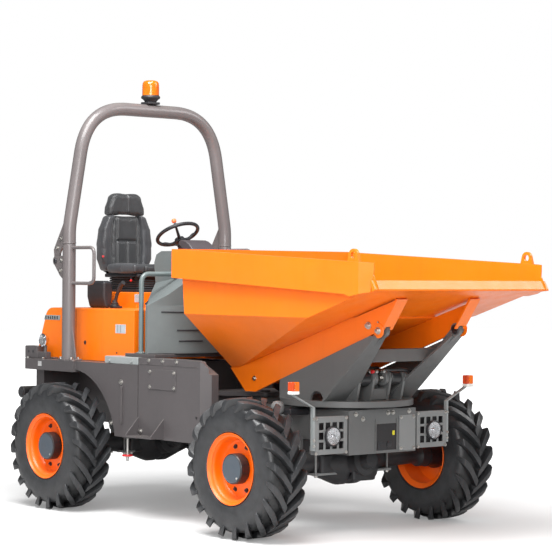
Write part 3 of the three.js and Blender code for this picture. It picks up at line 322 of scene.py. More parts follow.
@dataclass(frozen=True)
class Metal(Finish):
    """Bare or plated metal with brushing and stains."""

    brush: tuple[float, float, float] = (40.0, 40.0, 40.0)

    def make(self, graph: Graph) -> None:
        """Metal layers: stains, fine brushing and roughness drift."""
        tone = graph.blend(
            graph.remap(graph.noise(30.0, 5), 0.35, 0.75), self.colour, shaded(self.colour, 0.72))
        lines = graph.noise(8.0, 3, graph.stretch(self.brush))
        graph.set(
            Base_Color=tone, Metallic=1.0,
            Roughness=graph.remap(lines, 0.3, 0.7, self.roughness - 0.06, self.roughness + 0.12))
        graph.bump((lines, 0.0002))


@dataclass(frozen=True)
class Casting(Finish):
    """Sand-cast iron under thin black paint."""

    def make(self, graph: Graph) -> None:
        """Casting layers: sand pits, oily sheen patches and road dust on top."""
        tone = graph.blend(
            graph.remap(graph.noise(12.0, 6), 0.35, 0.7), self.colour, shaded(self.colour, 1.6))
        lying = graph.math(
            "MULTIPLY", graph.remap(graph.upward(), 0.2, 1.0),
            graph.remap(graph.noise(18.0, 6), 0.35, 0.7, 0.0, 0.35))
        graph.set(
            Base_Color=graph.blend(lying, tone, srgb(104, 98, 90)),
            Roughness=graph.remap(
                graph.noise(7.0, 4), 0.3, 0.7, self.roughness - 0.12, self.roughness + 0.1))
        graph.bump((graph.noise(150.0, 4), 0.0009), (graph.noise(22.0, 3), 0.0015))


@dataclass(frozen=True)
class Lens(Finish):
    """Clear or coloured lamp plastic with moulded prisms."""

    clearness: float = 0.6
    prisms: tuple[float, float, float] = (0.0, 90.0, 0.0)
    glow: float = 0.0

    def make(self, graph: Graph) -> None:
        """Lens layers: prism ribs, depth of colour and a smooth skin."""
        ribs = graph.node("TexWave", "Fac", {"Scale": 1.0, "Vector": graph.stretch(self.prisms)})
        deep = graph.blend(
            graph.remap(graph.noise(20.0, 3), 0.3, 0.7), shaded(self.colour, 0.8), shaded(self.colour, 1.15)
        )
        graph.set(
            Base_Color=deep,
            Roughness=graph.remap(graph.noise(40.0, 2), 0.3, 0.7, self.roughness, self.roughness + 0.05),
            Transmission_Weight=self.clearness, IOR=1.49, Coat_Weight=0.5)
        if self.glow:
            graph.set(Emission_Color=self.colour, Emission_Strength=self.glow)
        graph.bump((ribs, 0.0008))


ORANGE = Paint(
    "orange_paint", srgb(242, 116, 12), 0.34, coat=0.18, edge=srgb(128, 82, 52), wear=0.45, dust=0.1)
WHEEL_ORANGE = Paint(
    "wheel_orange", srgb(255, 104, 0), 0.4, coat=0.08, edge=srgb(120, 78, 48), wear=0.5, dust=0.1)
FRAME_GREY = Paint("frame_grey", srgb(93, 94, 94), 0.42, coat=0.2, edge=srgb(120, 119, 115), wear=0.55)
REAR_GREY = Paint("rear_grey", srgb(77, 73, 74), 0.44, coat=0.2, edge=srgb(112, 109, 106), wear=0.55)
GUARD_GREY = Paint("guard_grey", srgb(119, 121, 121), 0.45, coat=0.15, edge=srgb(148, 146, 143), wear=0.4)
TUBE_TAUPE = Paint("tube_taupe", srgb(101, 95, 95), 0.36, coat=0.3, edge=srgb(128, 122, 119), wear=0.5)
RAIL_GREEN = Paint(
    "rail_green_grey", srgb(97, 109, 109), 0.38, coat=0.3, edge=srgb(135, 138, 135), wear=0.4)
DECK_PLATE = Paint("deck_plate", srgb(138, 143, 143), 0.5, coat=0.1, edge=srgb(101, 100, 96), wear=0.5)
RAM_BLACK = Paint("ram_black", srgb(36, 37, 39), 0.4, coat=0.2, edge=srgb(93, 91, 88), wear=0.4)
BLACK_PAINT = Paint("black_paint", srgb(33, 31, 33), 0.42, coat=0.15, edge=srgb(81, 77, 74), wear=0.5)
HUB_SLATE = Paint(
    "hub_slate", srgb(70, 79, 88), 0.5, coat=0.1, edge=srgb(110, 114, 117), wear=0.4, dust=0.2)
TYRE = Rubber("tyre_rubber", srgb(46, 47, 49), 0.38)
RUBBER_TRIM = Rubber("rubber_trim", srgb(30, 30, 32), 0.55, hollow_shade=0.1)
COWL_GREY = Moulding("cowl_plastic", srgb(96, 102, 102), 0.5)
DASH_GREY = Moulding("dash_plastic", srgb(67, 61, 64), 0.5)
BLACK_PLASTIC = Moulding("black_plastic", srgb(41, 41, 44), 0.46)
WHEEL_GRIP = Moulding("steering_grip", srgb(36, 36, 39), 0.42, grain=0.0003, cell=800.0)
RED_PLASTIC = Moulding("red_plastic", srgb(196, 34, 40), 0.35)
KNOB_ORANGE = Moulding("knob_orange", srgb(240, 112, 64), 0.3, grain=0.0001)
WHITE_PLASTIC = Moulding("white_plastic", srgb(222, 222, 218), 0.4)
YELLOW_TAG = Moulding("yellow_tag", srgb(206, 196, 40), 0.5)
PLATE_GREY = Moulding("blank_plate", srgb(169, 174, 179), 0.38, grain=0.0001)
SEAT_VINYL = Vinyl("seat_vinyl", srgb(45, 46, 48), 0.4)
# Painted highlight: the bolsters' vinyl is a lighter copy of the seat vinyl, standing in for the highlights
# on their curves.
BOLSTER_VINYL_HIGHLIT = Vinyl("bolster_vinyl_painted_highlight", srgb(53, 54, 57), 0.36)
ZINC = Metal("zinc_plate", srgb(206, 204, 200), 0.32)
CHROME = Metal("chrome_rod", srgb(222, 222, 226), 0.12, brush=(4.0, 60.0, 60.0))
DARK_STEEL = Metal("dark_steel", srgb(96, 96, 100), 0.42)
BOWL = Metal("lamp_bowl", srgb(236, 238, 242), 0.08)
IRON = Casting("black_iron", srgb(34, 34, 36), 0.5)
AMBER = Lens("amber_lens", srgb(238, 120, 24), 0.08, clearness=0.35, prisms=(0.0, 160.0, 160.0), glow=0.12)
AMBER_RED = Lens(
    "amber_red_lens", srgb(226, 84, 34), 0.1, clearness=0.3, prisms=(120.0, 120.0, 0.0), glow=0.1)
CLEAR = Lens("clear_lens", srgb(246, 248, 250), 0.03, clearness=0.9, prisms=(0.0, 120.0, 0.0))
REFLECTOR = Lens("white_reflector", srgb(206, 206, 206), 0.15, clearness=0.2, prisms=(400.0, 400.0, 400.0))


# ---- Mesh parts ----


class Axis(Enum):
    """The direction in which an outline is extruded."""

    X = 0
    Y = 1
    Z = 2


def block(low: Point, high: Point) -> Part:
    """A box between two corners.

    Args:
        low: one corner.
        high: the opposite corner.

    Returns:
        The part.
    """
    part = bmesh.new()
    bmesh.ops.create_cube(part, size=1.0)
    low, high = Vector(low), Vector(high)
    for vert in part.verts:
        vert.co = Vector([(low[i] + high[i]) / 2 + vert.co[i] * abs(high[i] - low[i]) for i in range(3)])
    return part


def prism(outline: Outline, axis: Axis, low: float, high: float) -> Part:
    """An outline extruded along an axis.

    Args:
        outline: points in the two other axes, in x, y, z order.
        axis: the direction of the extrusion.
        low: where it starts.
        high: where it ends.

    Returns:
        The part.
    """
    part = bmesh.new()

    def ring(level: float) -> list[bmesh.types.BMVert]:
        """The outline's vertices at one level."""
        made = []
        for first, second in outline:
            place = [first, second]
            place.insert(axis.value, level)
            made.append(part.verts.new(place))
        return made
    bottom, top = ring(low), ring(high)
    part.faces.new(bottom)
    part.faces.new(top)
    for i in range(len(outline)):
        after = (i + 1) % len(outline)
        part.faces.new((bottom[i], bottom[after], top[after], top[i]))
    bmesh.ops.recalc_face_normals(part, faces=part.faces)
    return part


def lathe(profile: Outline, start: Point, end: Point, segments: int = 48) -> Part:
    """A profile turned about a line.

    Args:
        profile: (radius, distance from start) points; it closes on the line or on itself.
        start: a point on the line.
        end: another point on the line, which sets its direction.
        segments: facets round the line.

    Returns:
        The part.
    """
    part = bmesh.new()
    axis = (Vector(end) - Vector(start)).normalized()
    side = axis.orthogonal().normalized()
    other = axis.cross(side)
    rows = []
    for radius, distance in profile:
        middle = Vector(start) + axis * distance
        if radius < 1e-6:
            rows.append([part.verts.new(middle)] * segments)
            continue
        rows.append([
            part.verts.new(middle + (side * math.cos(turn) + other * math.sin(turn)) * radius)
            for turn in (2 * math.pi * i / segments for i in range(segments))])
    pairs = list(zip(rows, rows[1:]))
    if profile[0][0] > 1e-6:
        pairs.append((rows[-1], rows[0]))
    for near, far in pairs:
        for i in range(segments):
            after = (i + 1) % segments
            corners = list(dict.fromkeys((near[i], near[after], far[after], far[i])))
            if len(corners) > 2:
                part.faces.new(corners)
    bmesh.ops.recalc_face_normals(part, faces=part.faces)
    return part


def rod(start: Point, end: Point, radius: float, segments: int = 24, rim: float = 0.0) -> Part:
    """A round bar with chamfered ends.

    Args:
        start: middle of one end.
        end: middle of the other end.
        radius: the bar's radius.
        segments: facets.
        rim: size of the chamfer.

    Returns:
        The part.
    """
    length = (Vector(end) - Vector(start)).length
    profile = [
        (0, 0), (radius - rim, 0), (radius, rim), (radius, length - rim), (radius - rim, length),
        (0, length)]
    if not rim:
        profile = [(0, 0), (radius, 0), (radius, length), (0, length)]
    return lathe(profile, start, end, segments)


def rounded_path(
        corners: Sequence[Point], bend: float, steps: int = 10, closed: bool = False) -> list[Vector]:
    """A path through corners, each rounded with a smooth bend.

    Args:
        corners: the corner points.
        bend: distance from a corner at which its bend starts.
        steps: points in each bend.
        closed: whether the path returns to its start.

    Returns:
        The path's points.
    """
    points = [Vector(corner) for corner in corners]
    path = [] if closed else [points[0]]
    inner = range(len(points)) if closed else range(1, len(points) - 1)
    for i in inner:
        before, here, after = points[i - 1], points[i], points[(i + 1) % len(points)]
        reach = min(bend, (before - here).length * 0.48, (after - here).length * 0.48)
        into = here + (before - here).normalized() * reach
        out = here + (after - here).normalized() * reach
        for step in range(steps + 1):
            share = step / steps
            path.append(into * (1 - share) ** 2 + here * 2 * share * (1 - share) + out * share ** 2)
    return path if closed else [*path, points[-1]]


def tube(
        path: Sequence[Point], radius: float, segments: int = 20, closed: bool = False,
        taper: Callable[[float], float] | None = None) -> Part:
    """A round tube along a path.

    Args:
        path: points of the centre line.
        radius: the tube's radius.
        segments: facets round it.
        closed: whether the path is a loop.
        taper: radius factor by share of the path.

    Returns:
        The part.
    """
    part = bmesh.new()
    points = [Vector(point) for point in path]
    count = len(points)
    rings = []
    side = None
    for i, here in enumerate(points):
        before = points[i - 1] if i or closed else here
        after = points[(i + 1) % count] if i < count - 1 or closed else here
        along = (after - before).normalized()
        side = along.orthogonal() if side is None else side - along * side.dot(along)
        side.normalize()
        other = along.cross(side)
        size = radius * (taper(i / (count - 1)) if taper else 1.0)
        rings.append([
            part.verts.new(here + (side * math.cos(turn) + other * math.sin(turn)) * size)
            for turn in (2 * math.pi * k / segments for k in range(segments))])
    if closed:
        last, first = rings[-1], rings[0]
        shift = min(range(segments), key=lambda k: (last[0].co - first[k].co).length)
        rings.append(first[shift:] + first[:shift])
    for near, far in zip(rings, rings[1:]):
        for k in range(segments):
            after = (k + 1) % segments
            part.faces.new((near[k], near[after], far[after], far[k]))
    if not closed:
        part.faces.new(rings[0])
        part.faces.new(rings[-1])
    bmesh.ops.recalc_face_normals(part, faces=part.faces)
    return part


def merge(*parts: Part) -> Part:
    """Puts several parts into the first one.

    Args:
        parts: the parts; all but the first are used up.

    Returns:
        The first part.
    """
    whole, *others = parts
    for other in others:
        mesh = bpy.data.meshes.new("passing")
        other.to_mesh(mesh)
        other.free()
        whole.from_mesh(mesh)
        bpy.data.meshes.remove(mesh)
    return whole


def soften(part: Part, width: float, segments: int = 2, angle: float = 28.0) -> Part:
    """Rounds the sharp edges.

    Args:
        part: the part to round.
        width: width of the rounding.
        segments: facets across it.
        angle: edges sharper than this many degrees are rounded.

    Returns:
        The same part.
    """
    sharp = [
        edge for edge in part.edges
        if len(edge.link_faces) == 2 and edge.calc_face_angle(0.0) > math.radians(angle)]
    bmesh.ops.bevel(
        part, geom=sharp, offset=width, segments=segments, profile=0.5, affect="EDGES", clamp_overlap=True,
        offset_type="OFFSET")
    return part


def slab(low: Point, high: Point, width: float, segments: int = 2) -> Part:
    """A box between two corners, with its edges rounded over a width in some segments."""
    return soften(block(low, high), width, segments)


def cut_plate(
        outline: Outline, axis: Axis, low: float, high: float, width: float, segments: int = 2) -> Part:
    """A prism from one level to another, with its edges rounded over a width in some segments."""
    return soften(prism(outline, axis, low, high), width, segments)


def bent_tube(
        corners: Sequence[Point], bend: float, steps: int, radius: float, segments: int = 20,
        taper: Callable[[float], float] | None = None) -> Part:
    """A tube through corners that are rounded by a bend in some steps."""
    return tube(rounded_path(corners, bend, steps), radius, segments, taper=taper)


def moved(part: Part, matrix: Matrix) -> Part:
    """A part moved by a matrix.

    Args:
        part: the part.
        matrix: where it goes.

    Returns:
        The same part.
    """
    bmesh.ops.transform(part, matrix=matrix, verts=part.verts)
    if matrix.determinant() < 0:
        bmesh.ops.reverse_faces(part, faces=part.faces)
    return part


def bolt(place: Point, direction: Point, size: float = 0.018, washer: bool = True) -> Part:
    """A hexagon bolt head on its washer.

    Args:
        place: middle of the seat.
        direction: the way the head points.
        size: width across the flats.
        washer: whether it has a washer.

    Returns:
        The part.
    """
    seat, way = Vector(place), Vector(direction).normalized()
    thick = size * 0.14 if washer else 0.0
    head = soften(
        rod(seat + way * thick, seat + way * (thick + size * 0.6), size * 0.577, 6), size * 0.06, 1)
    if not washer:
        return head
    return merge(head, rod(seat - way * 0.001, seat + way * thick, size * 0.95, 16))


class Piece:
    """One visible piece: parts in their finishes, joined into one object that rides on a body."""

    def __init__(self, name: str, body: str) -> None:
        """Starts an empty piece.

        Args:
            name: the object's name.
            body: the body that carries it.
        """
        self.name, self.body = name, body
        self.whole = bmesh.new()
        self.finishes: list[Finish] = []

    def add(self, finish: Finish, *parts: Part) -> "Piece":
        """Adds parts in one finish.

        Args:
            finish: their finish.
            parts: the parts, which are used up.

        Returns:
            The piece.
        """
        if finish not in self.finishes:
            self.finishes.append(finish)
        slot = self.finishes.index(finish)
        for part in parts:
            for face in part.faces:
                face.material_index = slot
                face.smooth = True
            merge(self.whole, part)
        return self

    def show(self, replaces: Sequence[str] = (), angle: float = 32.0) -> bpy.types.Object:
        """Makes the object.

        Args:
            replaces: frame nodes that it stands for.
            angle: edges sharper than this many degrees stay crisp.

        Returns:
            The object.
        """
        mesh = bpy.data.meshes.new(self.name)
        self.whole.to_mesh(mesh)
        self.whole.free()
        for finish in self.finishes:
            mesh.materials.append(finish.material())
        mesh.shade_smooth()
        mesh.set_sharp_from_angle(angle=math.radians(angle))
        shown = bpy.data.objects.new(self.name, mesh)
        bpy.context.scene.collection.objects.link(shown)
        crisp = shown.modifiers.new("even_normals", "WEIGHTED_NORMAL")
        crisp.keep_sharp = True
        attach(shown, self.body)
        if replaces:
            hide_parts(*replaces)
        log.info("%s: %d faces on %s", self.name, len(mesh.polygons), self.body)
        return shown


def from_node(name: str, width: float = 0.003, segments: int = 2) -> Part:
    """A frame node's shape with its flat faces joined and its edges rounded.

    Args:
        name: the node.
        width: width of the rounding.
        segments: facets across the rounding.

    Returns:
        The part.
    """
    part = bmesh.new()
    part.from_mesh(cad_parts[name].data)
    for layer in list(part.loops.layers.uv):
        part.loops.layers.uv.remove(layer)
    bmesh.ops.remove_doubles(part, verts=part.verts, dist=2e-5)
    bmesh.ops.dissolve_limit(part, angle_limit=math.radians(1.2), verts=part.verts, edges=part.edges)
    if width:
        soften(part, width, segments)
    return part


def lowest(node: str) -> Vector:
    """Lowest corner of a node's box."""
    return Vector(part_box(node)[0])


def highest(node: str) -> Vector:
    """Highest corner of a node's box."""
    return Vector(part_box(node)[1])


def middle(node: str) -> Vector:
    """Middle of a node's box."""
    return (lowest(node) + highest(node)) / 2


REAR_X = middle("rim_rear_right").x
FRONT_X = middle("rim_front_right").x
SWIVEL_TAIL = 0.488
TURN_X = lowest("swivel_frame").x + SWIVEL_TAIL
AXLE_Z = middle("rim_rear_right").z


# ---- Wheels and axles ----


@dataclass
class Wheel:
    """One wheel: a lugged tyre on a dished rim with its hub."""

    axle: str
    hand: str
    lug_count: int = 20
    lug_radius: float = 0.48
    nut_count: int = 8
    nut_circle: float = 0.16
    sidewall: tuple = (
        (0.231, 0.117), (0.2525, 0.1385), (0.262, 0.149), (0.272, 0.153), (0.276, 0.1515), (0.3, 0.1565),
        (0.345, 0.1585), (0.372, 0.1578), (0.376, 0.1565), (0.4, 0.1535), (0.424, 0.145), (0.438, 0.13),
        (0.446, 0.108), (0.45, 0.075), (0.452, 0.03))
    # each lug station: top reach and radius, root reach and radius, degrees ahead,
    # half widths of top and root
    lug: tuple = (
        (-0.01, 0.495, -0.006, 0.446, 14.0, 0.0265, 0.032),
        (0.02, 0.495, 0.022, 0.446, 10.0, 0.0285, 0.034), (0.055, 0.495, 0.055, 0.444, 5.2, 0.0295, 0.035),
        (0.09, 0.4945, 0.086, 0.44, 0.6, 0.03, 0.035), (0.124, 0.492, 0.112, 0.432, -3.2, 0.0295, 0.034),
        (0.1475, 0.482, 0.13, 0.424, -6.0, 0.0275, 0.032),
        (0.1575, 0.458, 0.139, 0.416, -7.8, 0.0245, 0.029),
        (0.16, 0.429, 0.145, 0.406, -8.9, 0.0195, 0.024), (0.158, 0.402, 0.15, 0.4, -9.6, 0.012, 0.016))

    @property
    def place(self) -> Matrix:
        """Matrix from the wheel's own frame, outboard along +Y, to the model."""
        centre = middle(f"rim_{self.axle}_{self.hand}")
        return Matrix.Translation(centre) @ Matrix.Diagonal((1, SIDES[self.hand], 1, 1))

    @property
    def body(self) -> str:
        """The body that the wheel turns with."""
        return f"wheel_{self.axle}_{self.hand}"

    def lug_block(self) -> Part:
        """One tread lug, from the crown over the shoulder and down the sidewall."""
        part = bmesh.new()
        low = part.verts.layers.float.new("hollow_shade")
        rings = []
        for reach, radius, root, root_radius, ahead, half, root_half in self.lug:
            ring = []
            for along, level, width in (
                    (root, root_radius, -root_half), (reach, radius, -half), (reach, radius, half),
                    (root, root_radius, root_half)):
                turn = math.radians(ahead) + width / self.lug_radius
                ring.append(part.verts.new((level * math.sin(turn), along, level * math.cos(turn))))
            rings.append(ring)
        for near, far in zip(rings, rings[1:]):
            for i in range(4):
                after = (i + 1) % 4
                part.faces.new((near[i], near[after], far[after], far[i]))
        part.faces.new(rings[0])
        part.faces.new(rings[-1])
        bmesh.ops.recalc_face_normals(part, faces=part.faces)
        # Painted shade mask: the lug's root corners are marked to be darkened.
        for ring in rings:
            ring[0][low] = ring[3][low] = 1.0
        return soften(part, 0.003, 2, 40.0)

    def tyre(self) -> bpy.types.Object:
        """The tyre, with lugs staggered half a pitch between its two sides."""
        ring = [*self.sidewall, *((radius, -reach) for radius, reach in reversed(self.sidewall))]
        carcass = lathe(ring, (0, 0, 0), (0, 1, 0), 96)
        # Painted shade mask: the crown between the lugs is marked to be darkened, fading out down the
        # shoulder.
        low = carcass.verts.layers.float.new("hollow_shade")
        for vert in carcass.verts:
            radius = math.hypot(vert.co.x, vert.co.z)
            vert[low] = 1.0 if radius > 0.44 else max(0.0, (radius - 0.39) / 0.05) * 0.6
        lugs = []
        for way in (1, -1):
            for i in range(self.lug_count):
                turn = 2 * math.pi * (i + (0.5 if way < 0 else 0.0)) / self.lug_count
                lugs.append(
                    moved(self.lug_block(), Matrix.Rotation(turn, 4, "Y") @ Matrix.Diagonal((1, way, 1, 1)))
                )
        piece = Piece(f"tyre_{self.axle}_{self.hand}_tread", self.body)
        piece.add(TYRE, moved(merge(carcass, *lugs), self.place))
        return piece.show([f"tyre_{self.axle}_{self.hand}"], angle=38)

    def rim(self) -> bpy.types.Object:
        """The dished rim with wheel nuts, valve and hub."""
        dish = lathe([
            (0.1, 0.05), (0.125, 0.049), (0.15, 0.047), (0.184, 0.041), (0.199, 0.045), (0.208, 0.056),
            (0.2135, 0.074), (0.2155, 0.092), (0.2165, 0.106), (0.222, 0.116), (0.226, 0.122),
            (0.2275, 0.128), (0.236, 0.1325), (0.243, 0.139), (0.2475, 0.148), (0.251, 0.1518),
            (0.2538, 0.15), (0.2535, 0.146), (0.249, 0.138), (0.24, 0.131), (0.228, 0.127), (0.228, -0.127),
            (0.24, -0.131), (0.249, -0.138), (0.2535, -0.148), (0.251, -0.1518), (0.243, -0.146),
            (0.236, -0.138), (0.226, -0.13), (0.2165, -0.12), (0.2165, -0.02), (0.2105, 0.018),
            (0.196, 0.027), (0.15, 0.029), (0.1, 0.03)], (0, 0, 0), (0, 1, 0), 72)
        hub = lathe([
            (0, 0.06), (0.099, 0.06), (0.1075, 0.06), (0.1075, 0.128), (0.1015, 0.1342), (0.098, 0.1348),
            (0.098, 0.1325), (0.0, 0.1325)], (0, 0, 0), (0, 1, 0), 48)
        face = lathe([
            (0, 0.1352), (0.03, 0.1352), (0.033, 0.1336), (0.093, 0.1336), (0.0955, 0.1356),
            (0.0978, 0.1352), (0.0978, 0.13), (0, 0.13)], (0, 0, 0), (0, 1, 0), 48)
        back = lathe(
            [(0, 0.028), (0.107, 0.028), (0.107, -0.01), (0.09, -0.04), (0.09, -0.1), (0, -0.1)], (0, 0, 0),
            (0, 1, 0), 40)
        nuts, seats = [], []
        for i in range(self.nut_count):
            turn = 2 * math.pi * (i + 0.5) / self.nut_count
            spot = Vector((self.nut_circle * math.cos(turn), 0.0445, self.nut_circle * math.sin(turn)))
            nuts.append(bolt(spot, (0, 1, 0), 0.02))
            nuts.append(rod(spot, spot + Vector((0, 0.02, 0)), 0.0055, 10))
            seats.append(rod(spot - Vector((0, 0.002, 0)), spot + Vector((0, 0.0015, 0)), 0.016, 20))
        plug = rod((0.055, 0.131, -0.062), (0.055, 0.1372, -0.062), 0.009, 6, 0.001)
        valve = bent_tube(
            [(0.205, 0.052, 0.03), (0.196, 0.066, 0.03), (0.196, 0.088, 0.03)], 0.01, 4, 0.0045, 8)
        piece = Piece(f"rim_{self.axle}_{self.hand}_dish", self.body)
        piece.add(WHEEL_ORANGE, moved(dish, self.place))
        piece.add(BLACK_PAINT, moved(hub, self.place), moved(back, self.place))
        piece.add(HUB_SLATE, moved(face, self.place))
        piece.add(DARK_STEEL, *(moved(part, self.place) for part in (*nuts, *seats)))
        piece.add(ZINC, moved(plug, self.place))
        piece.add(RUBBER_TRIM, moved(valve, self.place))
        return piece.show([f"rim_{self.axle}_{self.hand}"])

    def build(self) -> None:
        """Makes the tyre and the rim."""
        self.tyre()
        self.rim()


@dataclass
class Axle:
    """A driven axle: arms, hub ends, differential, its cover bolts and clamp bolts."""

    node: str
    body: str
    arm_radius: float = 0.06
    end_radius: float = 0.084
    ball_radius: float = 0.17
    cover_bolts: int = 12
    pad_y: float = 0.29
    clamp_y: float = 0.29
    clamp_half: float = 0.034

    def build(self) -> bpy.types.Object:
        """Makes the axle in place of its node."""
        centre_x = REAR_X if self.node.startswith("rear") else FRONT_X
        end = highest(self.node).y
        pad_top = highest(self.node).z

        def at(x: float, y: float, z: float = 0.0) -> Vector:
            """A point from the axle's middle."""
            return Vector((centre_x + x, y, AXLE_Z + z))
        arms = lathe([
            (0, 0), (self.end_radius, 0.0), (self.end_radius, 0.085), (self.end_radius - 0.008, 0.092),
            (self.arm_radius + 0.004, 0.11), (self.arm_radius, 0.14), (self.arm_radius + 0.006, 0.36),
            (0.085, 0.5), (0.125, 0.62), (0.155, 0.7), (self.ball_radius, 0.745), (self.ball_radius, 0.8),
            (self.ball_radius - 0.012, 0.806), (self.ball_radius - 0.012, 0.854), (self.ball_radius, 0.86),
            (self.ball_radius, 0.915), (0.155, 0.96), (0.125, 1.04), (0.085, 1.16),
            (self.arm_radius + 0.006, 1.3), (self.arm_radius, 1.52), (self.arm_radius + 0.004, 1.55),
            (self.end_radius - 0.008, 1.568), (self.end_radius, 1.575), (self.end_radius, 2 * end),
            (0, 2 * end)], at(0, -end), at(0, end), 40)
        snout = lathe([
            (0, 0), (0.118, 0.0), (0.112, 0.1), (0.096, 0.13), (0.096, 0.15), (0.11, 0.155), (0.11, 0.175),
            (0.07, 0.185), (0.055, 0.245), (0, 0.25)], at(0.06, 0), at(0.3, 0, 0.03), 32)
        case = slab(at(-0.1, -0.32, -0.085), at(0.115, -0.09, 0.078), 0.03, 3)
        studs = []
        for i in range(self.cover_bolts):
            turn = 2 * math.pi * i / self.cover_bolts
            for y, way in ((-0.0845, -1), (0.0845, 1)):
                studs.append(
                    bolt(
                        at(0.145 * math.cos(turn), y * 0.88, 0.145 * math.sin(turn)), (0, way, 0), 0.016,
                        False))
        plug = rod(at(-0.16, 0.03, -0.03), at(-0.182, 0.03, -0.03), 0.016, 6, 0.002)
        pads = [
            slab(
                at(-0.07, side * self.pad_y - 0.05, -0.02),
                Vector((centre_x + 0.07, side * self.pad_y + 0.05, pad_top)), 0.006)
            for side in (-1, 1)]
        clamps, nuts = [], []
        for side in (-1, 1):
            for x in (-0.088, 0.088):
                for y in (self.clamp_y - self.clamp_half, self.clamp_y + self.clamp_half):
                    clamps.append(
                        rod(
                            at(x, side * y, -0.082), Vector((centre_x + x, side * y, pad_top + 0.02)),
                            0.0085, 12))
                    nuts.append(bolt(at(x, side * y, -0.082), (0, 0, -1), 0.021))
            reach = self.clamp_half + 0.021
            clamps.append(
                slab(
                    at(-0.115, side * self.clamp_y - reach, -0.082),
                    at(0.115, side * self.clamp_y + reach, -0.066), 0.003))
        piece = Piece(f"{self.node}_casting", self.body)
        piece.add(IRON, arms, snout, case, *pads).add(DARK_STEEL, *studs)
        piece.add(GUARD_GREY, *clamps).add(ZINC, plug, *nuts)
        return piece.show([self.node])


# ---- Sub-assemblies ----


@dataclass
class Assembly:
    """A sub-assembly on one body, with its points measured from a place on the ground."""

    body: str = "rear_chassis"
    origin: float = REAR_X

    def at(self, x: float, y: float, z: float) -> Vector:
        """A point measured from the origin, ahead, to the left and up."""
        return Vector((self.origin + x, y, z))

    def points(self, *places: Point) -> list[Vector]:
        """Several points measured from the origin."""
        return [self.at(*place) for place in places]

    def slab(self, low: Point, high: Point, width: float, segments: int = 2) -> Part:
        """A rounded box between two corners measured from the origin."""
        return slab(self.at(*low), self.at(*high), width, segments)

    def bar(self, start: Point, end: Point, radius: float, segments: int = 24, rim: float = 0.0) -> Part:
        """A round bar between two points measured from the origin."""
        return rod(self.at(*start), self.at(*end), radius, segments, rim)

    def turned(self, profile: Outline, start: Point, end: Point, segments: int = 48) -> Part:
        """A profile turned about a line between two points measured from the origin."""
        return lathe(profile, self.at(*start), self.at(*end), segments)


# ---- Rear chassis ----


